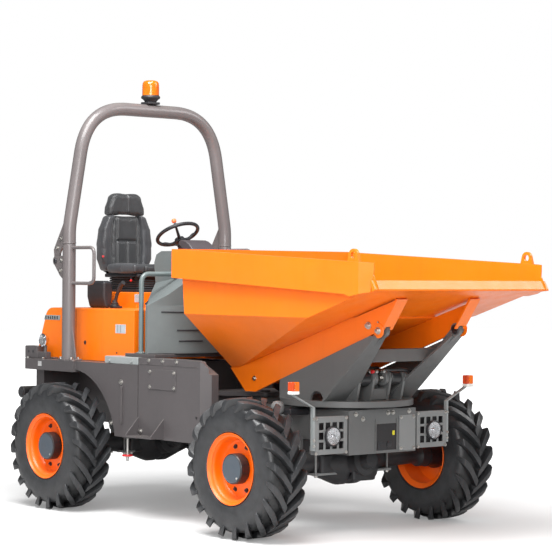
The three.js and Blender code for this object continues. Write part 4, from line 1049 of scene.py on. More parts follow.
@dataclass
class RearChassis(Assembly):
    """Rear frame with bumper bar, engine block, rear lamps, side tanks and the operator's floor."""

    deck_top: float = 1.157
    tank_outer: float = 0.83
    tank_rear: float = 0.89
    hanger_x: float = 0.705
    cover_low: Point = (1.02, 0.985)
    cover_high: Point = (1.355, 1.135)

    def frame(self) -> None:
        """The welded frame with its deck bolts and plates."""
        piece = Piece("rear_frame_weldment", self.body)
        piece.add(REAR_GREY, from_node("rear_frame", 0.004))
        bolts, ledges = [], []
        for side in (-1, 1):
            for x in (-0.62, -0.4, -0.16, 0.02):
                bolts.append(bolt(self.at(x, side * 0.825, self.deck_top), (0, 0, 1), 0.019))
            for x, z in ((0.2, 0.74), (0.42, 0.7), (0.8, 0.66), (0.55, 1.02)):
                bolts.append(bolt(self.at(x + 0.12, side * 0.83, z), (0, side, 0), 0.022))
            rib = [(0.675, 0.74), (0.697, 0.7), (0.697, 0.99), (0.675, 0.99)]
            ledges.append(
                cut_plate(
                    [(REAR_X + x, z) for x, z in rib], Axis.Y, *sorted((side * 0.829, side * 0.848)), 0.003)
            )
            ledges.append(
                self.slab((
                    -0.44, side * 0.7, self.deck_top), (-0.365, side * 0.742, self.deck_top + 0.012), 0.002)
            )
        piece.add(REAR_GREY, *ledges).add(ZINC, *bolts)
        piece.show(["rear_frame"])

    def bumper(self) -> None:
        """The round bumper bar on its brackets."""
        low, high = lowest("rear_bumper"), highest("rear_bumper")
        radius = (high.z - low.z) / 2
        x, z = low.x + radius, low.z + radius
        bar = lathe([
            (0, 0), (radius - 0.006, 0.0), (radius, 0.006), (radius, 2 * high.y - 0.006),
            (radius - 0.006, 2 * high.y), (0, 2 * high.y)], (x, low.y, z), (x, high.y, z), 40)
        caps = [
            rod((x, side * (high.y - 0.001), z), (x, side * (high.y + 0.004), z), radius * 0.72, 32, 0.001)
            for side in (-1, 1)]
        arms = [
            slab((x, side * 0.59 - 0.03, z - 0.03), (high.x, side * 0.59 + 0.03, z + 0.03), 0.003)
            for side in (-1, 1)]
        piece = Piece("rear_bumper_bar", self.body)
        piece.add(BLACK_PAINT, bar, *arms).add(BLACK_PLASTIC, *caps)
        piece.show(["rear_bumper"])

    def engine(self) -> None:
        """The engine block, ribbed like a casting."""
        low, high = lowest("engine"), highest("engine")
        body = slab(low, high, 0.02, 3)
        ribs = [
            slab(
                (low.x + 0.06 + i * 0.09, low.y - 0.008, low.z + 0.1),
                (low.x + 0.08 + i * 0.09, high.y + 0.008, high.z - 0.1), 0.004)
            for i in range(6)]
        piece = Piece("engine_casting", self.body)
        piece.add(IRON, body, *ribs)
        piece.show(["engine"])

    def lamps(self) -> None:
        """Rear lamp boxes, each with a work lamp on a bracket and a reflector plate."""
        for hand, side in SIDES.items():
            low, high = lowest(f"rear_lamp_{hand}"), highest(f"rear_lamp_{hand}")
            near, far = sorted((side * 0.727, side * 0.808))
            shell = slab((low.x, near, low.z), (low.x + 0.175, far, low.z + 0.1), 0.006, 2)
            tail = slab(
                (low.x + 0.17, near + 0.01, low.z), (high.x - 0.06, far - 0.02, low.z + 0.055), 0.005)
            lens = slab(
                (low.x - 0.006, near + 0.006, low.z + 0.012), (low.x + 0.004, far - 0.006, low.z + 0.09),
                0.003)
            holes = [
                rod(
                    (low.x + x, side * 0.8075, low.z + 0.055), (low.x + x, side * 0.8095, low.z + 0.055),
                    0.011, 16)
                for x in (0.055, 0.12)]
            spot = Vector((low.x + 0.232, side * 0.772, low.z + 0.15))
            stalk = tube(
                [spot + Vector((0.01, 0, -0.12)), spot + Vector((0.012, 0, -0.05)), spot], 0.014, 12)
            bowl = lathe([
                (0, 0), (0.022, 0.0), (0.04, 0.014), (0.052, 0.034), (0.054, 0.052), (0.05, 0.056),
                (0.046, 0.052), (0, 0.05)
            ], spot + Vector((0, -side * 0.03, 0)), spot + Vector((0, side, 0)), 32)
            glass = lathe(
                [(0, 0.051), (0.046, 0.051), (0.04, 0.058), (0.02, 0.062), (0, 0.063)],
                spot + Vector((0, -side * 0.03, 0)), spot + Vector((0, side, 0)), 32)
            plate = self.slab((-0.435, side * 0.85, 1.1), (-0.385, side * 0.853, 1.14), 0.001, 1)
            piece = Piece(f"rear_lamp_{hand}_set", self.body)
            piece.add(REAR_GREY, shell, tail, stalk).add(BLACK_PLASTIC, *holes).add(AMBER_RED, lens)
            piece.add(BOWL, bowl).add(CLEAR, glass).add(REFLECTOR, plate)
            piece.show([f"rear_lamp_{hand}"])

    def tanks(self) -> None:
        """Side tanks with a bolted cover, a flanged top, a drain and a step."""
        for hand, side in SIDES.items():
            piece = Piece(f"side_tank_{hand}_shell", self.body)
            piece.add(REAR_GREY, from_node(f"side_tank_{hand}", 0.006, 3))
            outer = side * self.tank_outer
            (x0, z0), (x1, z1) = self.cover_low, self.cover_high
            cover = self.slab((x0, outer, z0), (x1, outer + side * 0.006, z1), 0.0015, 1)
            heads = [
                bolt(self.at(x, outer + side * 0.006, z), (0, side, 0), 0.016)
                for x in (x0 + 0.02, x1 - 0.02) for z in (z0 + 0.018, z1 - 0.018)]
            rows = [bolt(self.at(x, outer, 1.2), (0, side, 0), 0.017) for x in (1.02, 1.19, 1.36)]
            seam = self.slab(
                (self.tank_rear + 0.012, outer, 1.168), (1.62, outer + side * 0.003, 1.172), 0.001, 1)
            drain = self.bar((1.6, outer, 0.8), (1.6, outer + side * 0.004, 0.8), 0.009, 16)
            tread = [
                self.slab(
                    (0.92 + 0.045 * i, side * 0.85, 0.6295), (0.935 + 0.045 * i, side * 0.94, 0.634), 0.001,
                    1)
                for i in range(6)]
            piece.add(REAR_GREY, cover, seam, *tread).add(BLACK_PAINT, drain).add(ZINC, *heads, *rows)
            piece.show([f"side_tank_{hand}"])

    def floor(self) -> None:
        """The operator's floor with raised tread ribs, edge rail and bolts."""
        piece = Piece("floor_plate_tread", self.body)
        piece.add(REAR_GREY, from_node("floor_plate", 0.003))
        top = highest("floor_plate").z
        ribs = []
        for row in range(9):
            for column in range(9):
                y = -0.264 + 0.066 * column
                turn = 0.7 if (row + column) % 2 else -0.7
                rib = block((-0.018, -0.0035, 0), (0.018, 0.0035, 0.0025))
                place = Matrix.Translation(
                    self.at(0.3 + 0.072 * row, y, top)) @ Matrix.Rotation(turn, 4, "Z")
                ribs.append(moved(soften(rib, 0.0018, 1), place))
        plates = []
        for side in (-1, 1):
            plates.append(
                self.slab(
                    (0.45, side * 0.69, self.deck_top + 0.0005),
                    (0.875, side * 0.829, self.deck_top + 0.057), 0.006))
            for x in (0.52, 0.8):
                plates.append(bolt(self.at(x, side * 0.829, self.deck_top + 0.022), (0, side, 0), 0.017))
        piece.add(DECK_PLATE, *ribs, *plates)
        piece.show(["floor_plate"])

    def hanger(self) -> None:
        """The rod with its red disc and nut that hangs under the step."""
        for hand, side in SIDES.items():
            x, y = self.hanger_x, side * 0.79
            post = self.bar((x, y, 0.415), (x, y, 0.605), 0.01, 14)
            bracket = self.slab((x - 0.03, y - 0.03, 0.592), (x + 0.05, y + 0.03, 0.604), 0.002)
            disc = self.bar((x, y, 0.452), (x, y, 0.464), 0.042, 28, 0.003)
            nuts = [
                bolt(self.at(x, y, 0.452), (0, 0, -1), 0.024),
                bolt(self.at(x, y, 0.464), (0, 0, 1), 0.024, False)]
            piece = Piece(f"isolator_rod_{hand}", self.body)
            piece.add(ZINC, post, *nuts).add(REAR_GREY, bracket).add(RED_PLASTIC, disc)
            piece.show()

    def build(self) -> None:
        """Makes every piece of the rear chassis."""
        for step in (self.frame, self.bumper, self.engine, self.lamps, self.tanks, self.floor, self.hanger):
            step()


# ---- Hood and seat ----


@dataclass
class EngineHood(Assembly):
    """The lifting hood and the fixed consoles beside the footwell."""

    body: str = "hood"
    hood_side: float = 0.68

    def shell(self) -> None:
        """The hood with rounded folds, a side grille, a latch and blank plates."""
        piece = Piece("hood_shell", self.body)
        piece.add(ORANGE, from_node("hood", 0.018, 4))
        dark, bright, plates, seams = [], [], [], []
        for side in (-1, 1):
            face = side * self.hood_side
            recess = cut_plate([
                (REAR_X - 0.6, 1.47), (REAR_X - 0.376, 1.47), (REAR_X - 0.37, 1.508),
                (REAR_X - 0.585, 1.508)
            ], Axis.Y, *sorted((face - side * 0.002, face + side * 0.003)), 0.002)
            bright.append(recess)
            for i in range(6):
                x = -0.58 + 0.032 * i
                dark.append(self.slab((x, face, 1.476), (x + 0.016, face + side * 0.005, 1.502), 0.002))
            seams.append(self.slab((-0.15, face, 1.165), (-0.146, face + side * 0.0015, 1.56), 0.0005, 1))
            dark.append(self.bar((-0.02, face, 1.3), (-0.02, face + side * 0.004, 1.3), 0.016, 20, 0.002))
        for y in (-0.3, 0.0, 0.3):
            for i in range(7):
                z = 1.26 + 0.03 * i
                x = -0.7195 + 0.262 * (z - 1.165) * 0.268
                dark.append(self.slab((x - 0.006, y - 0.105, z), (x + 0.02, y + 0.105, z + 0.013), 0.003))
        for y in (-0.47, 0.47):
            bright.append(self.slab((-0.728, y - 0.03, 1.19), (-0.712, y + 0.03, 1.235), 0.004))
        plates.append(self.slab((0.108, -0.29, 1.62), (0.1125, -0.22, 1.685), 0.001, 1))
        piece.add(BLACK_PLASTIC, *dark, *seams).add(DECK_PLATE, *bright).add(PLATE_GREY, *plates)
        piece.show(["hood"], angle=30)

    def consoles(self) -> None:
        """The orange consoles each side of the footwell, with a blank plate and a drain hole."""
        for hand, side in SIDES.items():
            piece = Piece(f"seat_console_{hand}_panel", "rear_chassis")
            piece.add(ORANGE, from_node(f"seat_console_{hand}", 0.012, 3))
            face = side * 0.69
            plate = self.slab((0.4, face, 1.385), (0.535, face + side * 0.002, 1.455), 0.0008, 1)
            lines = [
                self.slab(
                    (0.43 + 0.035 * i, face + side * 0.001, 1.392),
                    (0.434 + 0.035 * i, face + side * 0.0026, 1.448), 0.0004, 1)
                for i in range(2)]
            hole = self.bar((0.42, face, 1.232), (0.42, face + side * 0.002, 1.232), 0.007, 14)
            piece.add(PLATE_GREY, plate).add(DARK_STEEL, *lines, hole)
            piece.show([f"seat_console_{hand}"])

    def build(self) -> None:
        """Makes the hood and the consoles."""
        self.shell()
        self.consoles()


def puffed(part: Part, cap: float, voxel: float = 0.007, pressure: float = 4.0) -> Part:
    """A closed pad swollen by a short cloth simulation, and held near its pattern.

    Args:
        part: the pad's pattern, a little small.
        cap: furthest that a point may move.
        voxel: remesh size.
        pressure: inflation pressure.

    Returns:
        The swollen part.
    """
    mesh = bpy.data.meshes.new("pad_pattern")
    part.to_mesh(mesh)
    part.free()
    pad = bpy.data.objects.new("pad_pattern", mesh)
    bpy.context.scene.collection.objects.link(pad)
    remesh = pad.modifiers.new("even_grid", "REMESH")
    remesh.mode = "VOXEL"
    remesh.voxel_size = voxel
    smooth = pad.modifiers.new("ease", "SMOOTH")
    smooth.factor, smooth.iterations = 0.5, 4
    graph = bpy.context.evaluated_depsgraph_get()
    grid = bpy.data.meshes.new_from_object(pad.evaluated_get(graph))
    pad.modifiers.clear()
    pad.data = grid
    start = [vert.co.copy() for vert in grid.vertices]
    cloth = pad.modifiers.new("fill", "CLOTH")
    cloth.settings.quality = 5
    cloth.settings.use_pressure = True
    cloth.settings.uniform_pressure_force = pressure
    cloth.settings.effector_weights.gravity = 0.0
    scene = bpy.context.scene
    for step in range(1, 19):
        scene.frame_set(step)
    graph = bpy.context.evaluated_depsgraph_get()
    swollen = pad.evaluated_get(graph).to_mesh()
    after = [vert.co.copy() for vert in swollen.vertices]
    pad.modifiers.clear()
    scene.frame_set(1)
    for vert, before, grown in zip(grid.vertices, start, after):
        shift = grown - before
        if shift.length > cap:
            shift *= cap / shift.length
        vert.co = before + shift
    result = bmesh.new()
    result.from_mesh(grid)
    bpy.data.objects.remove(pad)
    bmesh.ops.smooth_vert(
        result, verts=result.verts, factor=0.5, use_axis_x=True, use_axis_y=True, use_axis_z=True)
    return result


def pinched(
        part: Part, depth: float, seams: Sequence[Callable[[Vector], float]], inward: Vector,
        width: float = 0.011) -> Part:
    """Presses sewn seams into a pad.

    Args:
        part: the pad.
        depth: how deep a seam lies.
        seams: signed distances to the seam lines.
        inward: the way the surface moves.
        width: half width of the crease.

    Returns:
        The same part.
    """
    for vert in part.verts:
        if vert.normal.dot(inward) > -0.2:
            continue
        press = max(math.exp(-(seam(vert.co) / width) ** 2) for seam in seams)
        vert.co += inward * depth * press
    return part


@dataclass
class Seat(Assembly):
    """The operator's seat: suspension, cushion, backrest, headrest, side console and levers."""

    body: str = "hood"
    half_width: float = 0.262
    back_x: float = -0.43
    thick: float = 0.105

    def back_pad(self, outline: Outline, rear: float, front: float, cap: float = 0.012) -> Part:
        """One upright pad from its outline across and up, swollen by no more than the cap."""
        return puffed(cut_plate(outline, Axis.X, REAR_X + rear, REAR_X + front, 0.016, 3), cap)

    def backrest(self) -> None:
        """Backrest with bolsters and a sewn centre panel, and the headrest above it."""
        rear, front = self.back_x - self.thick / 2, self.back_x + self.thick / 2
        centre = self.back_pad([
            (-0.16, 1.862), (0.16, 1.862), (0.168, 2.05), (0.16, 2.23), (0.126, 2.34), (-0.126, 2.34),
            (-0.16, 2.23), (-0.168, 2.05)], rear + 0.012, front - 0.018)
        pinched(
            centre, 0.016,
            (
                lambda co: co.z - 2.125 if abs(co.y) < 0.105 else 1.0,
                lambda co: co.y if co.z < 2.125 else 1.0, lambda co: abs(co.y) - 0.105),
            Vector((-1, 0, 0)))
        piece = Piece("seat_back_cover", self.body)
        piece.add(SEAT_VINYL, centre)
        for side in (-1, 1):
            bolster = self.back_pad(
                [
                    (side * 0.146, 1.868), (side * 0.212, 1.872), (side * 0.256, 1.97), (side * 0.26, 2.1),
                    (side * 0.24, 2.22), (side * 0.19, 2.325), (side * 0.13, 2.343), (side * 0.15, 2.22),
                    (side * 0.156, 2.05)][::side],
                rear, front)
            # Bolsters in the lighter vinyl: painted highlight.
            piece.add(BOLSTER_VINYL_HIGHLIT, bolster)
        head = self.back_pad([
            (-0.188, 2.334), (0.188, 2.334), (0.184, 2.4), (0.15, 2.495), (0.11, 2.522), (-0.11, 2.522),
            (-0.15, 2.495), (-0.184, 2.4)], rear + 0.006, front - 0.012, 0.008)
        pinched(head, 0.01, (lambda co: co.y, ), Vector((-1, 0, 0)), 0.008)
        piece.add(SEAT_VINYL, head)
        piece.show(["seat_back"], angle=60)

    def cushion(self) -> None:
        """Cushion with side bolsters and a cross seam."""
        low, high = lowest("seat_cushion"), highest("seat_cushion")
        panel = puffed(
            slab((low.x + 0.02, -0.15, low.z + 0.006), (high.x - 0.012, 0.15, high.z - 0.018), 0.018, 3),
            0.012)
        pinched(panel, 0.012, (lambda co: co.x - (low.x + 0.24), ), Vector((0, 0, -1)))
        piece = Piece("seat_cushion_cover", self.body)
        piece.add(SEAT_VINYL, panel)
        for side in (-1, 1):
            near, far = sorted((side * 0.15, side * (self.half_width - 0.006)))
            # Cushion bolsters in the lighter vinyl: painted highlight.
            piece.add(
                BOLSTER_VINYL_HIGHLIT,
                puffed(
                    slab(
                        (low.x + 0.02, near, low.z + 0.006), (high.x - 0.02, far, high.z - 0.008), 0.02, 3),
                    0.01))
        piece.show(["seat_cushion"], angle=60)

    def suspension(self) -> None:
        """Suspension bellows between two pans, with adjuster levers."""
        low, high = lowest("seat_suspension"), highest("seat_suspension")
        pan = slab((low.x, -0.215, high.z - 0.03), (high.x, 0.215, high.z), 0.008, 3)
        base = slab((low.x + 0.01, -0.205, low.z), (high.x - 0.01, 0.205, low.z + 0.026), 0.006, 2)
        bellows = []
        folds = 5
        for i in range(folds):
            z = low.z + 0.026 + (high.z - low.z - 0.056) * i / folds
            step = (high.z - low.z - 0.056) / folds
            bellows.append(
                slab(
                    (low.x + 0.03, -0.19, z + 0.001), (high.x - 0.03, 0.19, z + step - 0.001), step * 0.42,
                    2))
        core = block((low.x + 0.045, -0.176, low.z + 0.02), (high.x - 0.045, 0.176, high.z - 0.02))
        shell = cut_plate([
            (REAR_X + self.back_x - 0.066, 1.9), (REAR_X + self.back_x - 0.066, 2.26),
            (REAR_X + self.back_x - 0.05, 2.3), (REAR_X + self.back_x - 0.05, 1.875), (low.x + 0.05, 1.852),
            (low.x + 0.05, 1.82), (low.x - 0.02, 1.82)], Axis.Y, -0.17, 0.17, 0.012, 2)
        lever = bent_tube(
            self.points((-0.02, -0.215, 1.815), (0.0, -0.25, 1.815), (0.03, -0.262, 1.795)), 0.02, 4, 0.008,
            10)
        knobs = [
            lathe(
                [(0, 0), (0.008, 0.002), (0.01, 0.012), (0.007, 0.019), (0, 0.021)], spot, spot + way, 20
            ) for spot, way in (
                (self.at(0.03, -0.262, 1.795), Vector((0.4, -1, 0))),
                (self.at(-0.385, -0.25, 1.99), Vector((1, -0.6, 0))))]
        slider = slab(
            (low.x + 0.04, -0.232, high.z - 0.026), (high.x - 0.03, -0.214, high.z - 0.006), 0.003)
        piece = Piece("seat_suspension_bellows", self.body)
        piece.add(BLACK_PLASTIC, pan, base, shell, *bellows).add(RUBBER_TRIM, core)
        piece.add(DARK_STEEL, lever, slider).add(RED_PLASTIC, *knobs)
        piece.show(["seat_suspension"])

    def controls(self) -> None:
        """The side console and the cranked lever in front of it."""
        low, high = lowest("side_console"), highest("side_console")
        box = soften(from_node("side_console", 0.0), 0.022, 4)
        lid = slab(
            (low.x + 0.03, low.y + 0.02, high.z - 0.012), (high.x - 0.03, high.y - 0.02, high.z + 0.004),
            0.005, 2)
        console = Piece("side_console_box", self.body)
        console.add(BLACK_PLASTIC, box, lid)
        console.show(["side_console"])
        foot = self.at(-0.055, -0.365, 1.585)
        grip = [
            foot, self.at(-0.04, -0.365, 1.66), self.at(0.015, -0.365, 1.752), self.at(0.058, -0.365, 1.778)
        ]
        arm = bent_tube(grip, 0.05, 8, 0.0165, 16, taper=lambda share: 1.1 if share > 0.5 else 0.85)
        boot = lathe([
            (0, 0), (0.04, 0.0), (0.038, 0.012), (0.028, 0.018), (0.03, 0.026), (0.021, 0.034),
            (0.022, 0.042), (0.014, 0.052), (0, 0.052)], foot, foot + Vector((0, 0, 1)), 24)
        base = self.slab((-0.088, -0.398, 1.5705), (0.008, -0.332, 1.588), 0.006, 2)
        lever = Piece("brake_lever_arm", self.body)
        lever.add(BLACK_PLASTIC, arm).add(RUBBER_TRIM, boot).add(BLACK_PLASTIC, base)
        lever.show(["brake_lever"])

    def build(self) -> None:
        """Makes every piece of the seat."""
        for step in (self.backrest, self.cushion, self.suspension, self.controls):
            step()


# ---- Cowl and steering ----


@dataclass
class Cowl(Assembly):
    """The dash cowl with its dash hood, handrails, steering column and steering wheel."""

    half_width: float = 0.38
    wheel_radius: float = 0.17
    grip_radius: float = 0.0148
    tilt: float = 30.0
    spoke_angles: tuple = (70.0, 190.0, 310.0)
    knob_angle: float = 70.0

    @property
    def wheel_place(self) -> Matrix:
        """Matrix from the steering wheel's own frame, with +Y along its axis, to the model."""
        rim = self.at(0.295, 0, 2.172)
        axis = Vector((-math.sin(math.radians(self.tilt)), 0, math.cos(math.radians(self.tilt))))
        return Matrix.Translation(rim) @ Vector((0, 1, 0)).rotation_difference(axis).to_matrix().to_4x4()

    def flank(self, x: float, side: int) -> Vector:
        """The cowl's slanted flank on the ground plane at one distance ahead of the rear axle."""
        share = (x - 0.93) / (1.06 - 0.93)
        return self.at(x, side * (0.78 - 0.28 * share), 0)

    def shell(self) -> None:
        """The moulded cowl with its trim line, louvre slots, foot bolts and lower lip."""
        piece = Piece("cowl_shell", self.body)
        piece.add(COWL_GREY, from_node("cowl", 0.028, 5))
        trims, slots, heads = [], [], []
        for side in (-1, 1):
            face = side * (self.half_width + 0.001)
            trims.append(
                bent_tube(
                    self.points(
                        (0.96, face, 1.85), (0.8, face, 1.85), (0.73, face, 1.8), (0.56, face, 1.712)),
                    0.05, 8, 0.008, 10))
            trims.append(tube(self.points((0.562, face, 1.712), (0.897, side * 0.772, 1.622)), 0.008, 10))
            for z, near in ((1.562, 0.975), (1.423, 1.027), (1.341, 1.034)):
                run = [self.flank(x, side) + Vector((0, 0, z)) for x in (near, 1.045)]
                run += self.points((1.06, side * 0.5, z), (1.082, side * 0.365, z))
                slots.append(bent_tube(run, 0.02, 4, 0.007, 8))
            for z in (1.3, 1.56):
                heads.append(bolt(self.at(0.918, side * 0.735, z), (1, 0, 0.0), 0.014))
        for z in (1.36, 1.47):
            for y in (-0.3, 0.3):
                heads.append(bolt(self.at(1.084, y, z), (1, 0, 0), 0.014))
        trims.append(tube(self.points((0.995, -0.352, 1.852), (0.995, 0.352, 1.852)), 0.006, 8))
        trims.append(
            bent_tube(
                self.points(
                    (0.912, -0.77, 1.244), (0.93, -0.775, 1.244), (1.062, -0.5, 1.244),
                    (1.087, -0.35, 1.244), (1.087, 0.35, 1.244), (1.062, 0.5, 1.244), (0.93, 0.775, 1.244),
                    (0.912, 0.77, 1.244)),
                0.03, 5, 0.006, 8))
        piece.add(RUBBER_TRIM, *trims).add(BLACK_PLASTIC, *slots).add(ZINC, *heads)
        piece.show(["cowl"], angle=48)

    def dash(self) -> None:
        """The rounded dash hood with its switches."""
        outline = [
            (0.567, 2.0302), (0.653, 2.0302), (0.625, 2.062), (0.59, 2.092), (0.555, 2.112),
            (0.515, 2.1225), (0.48, 2.123), (0.457, 2.11), (0.451, 2.088), (0.505, 2.052)]
        hood = cut_plate([(REAR_X + x, z) for x, z in outline], Axis.Y, -0.119, 0.119, 0.024, 5)
        base = self.slab((0.55, -0.119, 2.0302), (0.647, 0.119, 2.05), 0.008, 2)
        face = cut_plate(
            [(REAR_X + x, z) for x, z in ((0.4525, 2.09), (0.455, 2.097), (0.505, 2.06), (0.5, 2.054))],
            Axis.Y, -0.098, 0.098, 0.002)
        dials = []
        for y in (-0.06, 0.0, 0.06):
            spot = self.at(0.479, y, 2.075)
            dials.append(rod(spot, spot + Vector((-0.012, 0, -0.012)), 0.02, 24, 0.003))
        piece = Piece("dash_hood_shell", self.body)
        piece.add(DASH_GREY, hood, base).add(BLACK_PLASTIC, face).add(CLEAR, *dials)
        piece.show(["dash_hood"], angle=48)

    def rails(self) -> None:
        """Handrails from the floor to the cowl's top, each with a flange and two bolts."""
        for hand, side in SIDES.items():
            low = lowest(f"handrail_{hand}").z
            path = rounded_path(
                self.points((0.8, side * 0.74, low), (0.8, side * 0.74, 1.85), (0.8, side * 0.381, 1.85)),
                0.075, 12)
            flange = self.bar((0.8, side * 0.74, low), (0.8, side * 0.74, low + 0.011), 0.036, 28, 0.002)
            collar = self.bar((0.8, side * 0.3808, 1.85), (0.8, side * 0.388, 1.85), 0.03, 24, 0.002)
            heads = [
                bolt(self.at(0.8 + x, side * 0.74, low + 0.01), (0, 0, 1), 0.01) for x in (-0.027, 0.027)]
            piece = Piece(f"handrail_{hand}_tube", self.body)
            piece.add(RAIL_GREEN, tube(path, 0.0188, 24), flange, collar).add(ZINC, *heads)
            piece.show([f"handrail_{hand}"])

    def column(self) -> None:
        """The steering column with a ribbed boot."""
        axis = self.wheel_place.to_3x3() @ Vector((0, 1, 0))
        start = self.wheel_place @ Vector((0, -0.0765, 0))
        end = self.wheel_place @ Vector((0, -0.325, 0))
        profile = [
            (0, 0), (0.02, 0.0), (0.022, 0.012), (0.034, 0.018), (0.036, 0.03), (0.029, 0.036),
            (0.037, 0.046), (0.03, 0.054), (0.039, 0.064), (0.031, 0.072), (0.041, 0.082), (0.033, 0.092),
            (0.027, 0.1), (0.027, 0.247), (0, 0.247)]
        stem = lathe(profile, start, end, 32)
        mount = self.slab((0.455, -0.059, 1.9302), (0.4845, 0.059, 2.0215), 0.006, 2)
        stalk = bent_tube([
            start - axis * 0.02, start - axis * 0.03 + Vector((0.01, -0.07, 0)),
            start - axis * 0.02 + Vector((0.02, -0.105, 0.012))], 0.02, 5, 0.006, 12)
        piece = Piece("steering_column_boot", self.body)
        piece.add(BLACK_PLASTIC, stem, mount, stalk)
        piece.show(["steering_column"], angle=50)

    def wheel(self) -> None:
        """The steering wheel: grip, three dished spokes, hub cap and steering knob."""
        place = self.wheel_place
        ring = [
            (
                self.wheel_radius * math.cos(2 * math.pi * i / 72), 0,
                self.wheel_radius * math.sin(2 * math.pi * i / 72))
            for i in range(72)]
        grip = tube(ring, self.grip_radius, 16, closed=True)
        spokes = []
        for angle in self.spoke_angles:
            way = Vector((math.cos(math.radians(angle)), 0, math.sin(math.radians(angle))))
            path = rounded_path([
                way * 0.028 + Vector((0, -0.054, 0)), way * 0.085 + Vector((0, -0.05, 0)),
                way * 0.136 + Vector((0, -0.01, 0)), way * 0.167], 0.05, 6)
            spokes.append(tube(path, 0.0105, 14, taper=lambda share: 1.25 - 0.45 * share))
        hub = lathe([
            (0, 0), (0.034, 0.0), (0.04, 0.006), (0.0415, 0.026), (0.038, 0.036), (0.026, 0.0395),
            (0, 0.0395)], (0, -0.0758, 0), (0, 0, 0), 36)
        cap = lathe(
            [(0, 0), (0.021, 0.0), (0.021, 0.003), (0.016, 0.0055), (0, 0.006)], (0, -0.0368, 0), (0, 0, 0),
            28)
        turn = math.radians(self.knob_angle)
        way = Vector((math.cos(turn), 0, math.sin(turn))) * self.wheel_radius
        stem = rod(way + Vector((0, 0.004, 0)), way + Vector((0, 0.034, 0)), 0.0065, 14)
        clamp = slab(
            (way.x - 0.017, -0.016, way.z - 0.012), (way.x + 0.017, 0.016, way.z + 0.012), 0.006, 2)
        knob = lathe([
            (0, 0), (0.01, 0.0), (0.0165, 0.005), (0.0195, 0.014), (0.0195, 0.024), (0.0155, 0.031),
            (0.008, 0.034), (0, 0.0345)], way + Vector((0, 0.0265, 0)), way + Vector((0, 1, 0)), 28)
        piece = Piece("steering_wheel_grip", "steering_wheel")
        piece.add(WHEEL_GRIP, *(moved(part, place) for part in (grip, hub, clamp, *spokes)))
        piece.add(DARK_STEEL, moved(stem, place), moved(cap, place)).add(KNOB_ORANGE, moved(knob, place))
        piece.show(["steering_wheel"], angle=50)

    def build(self) -> None:
        """Makes every piece of the cowl."""
        for step in (self.shell, self.dash, self.rails, self.column, self.wheel):
            step()


# ---- Roll-over protection ----


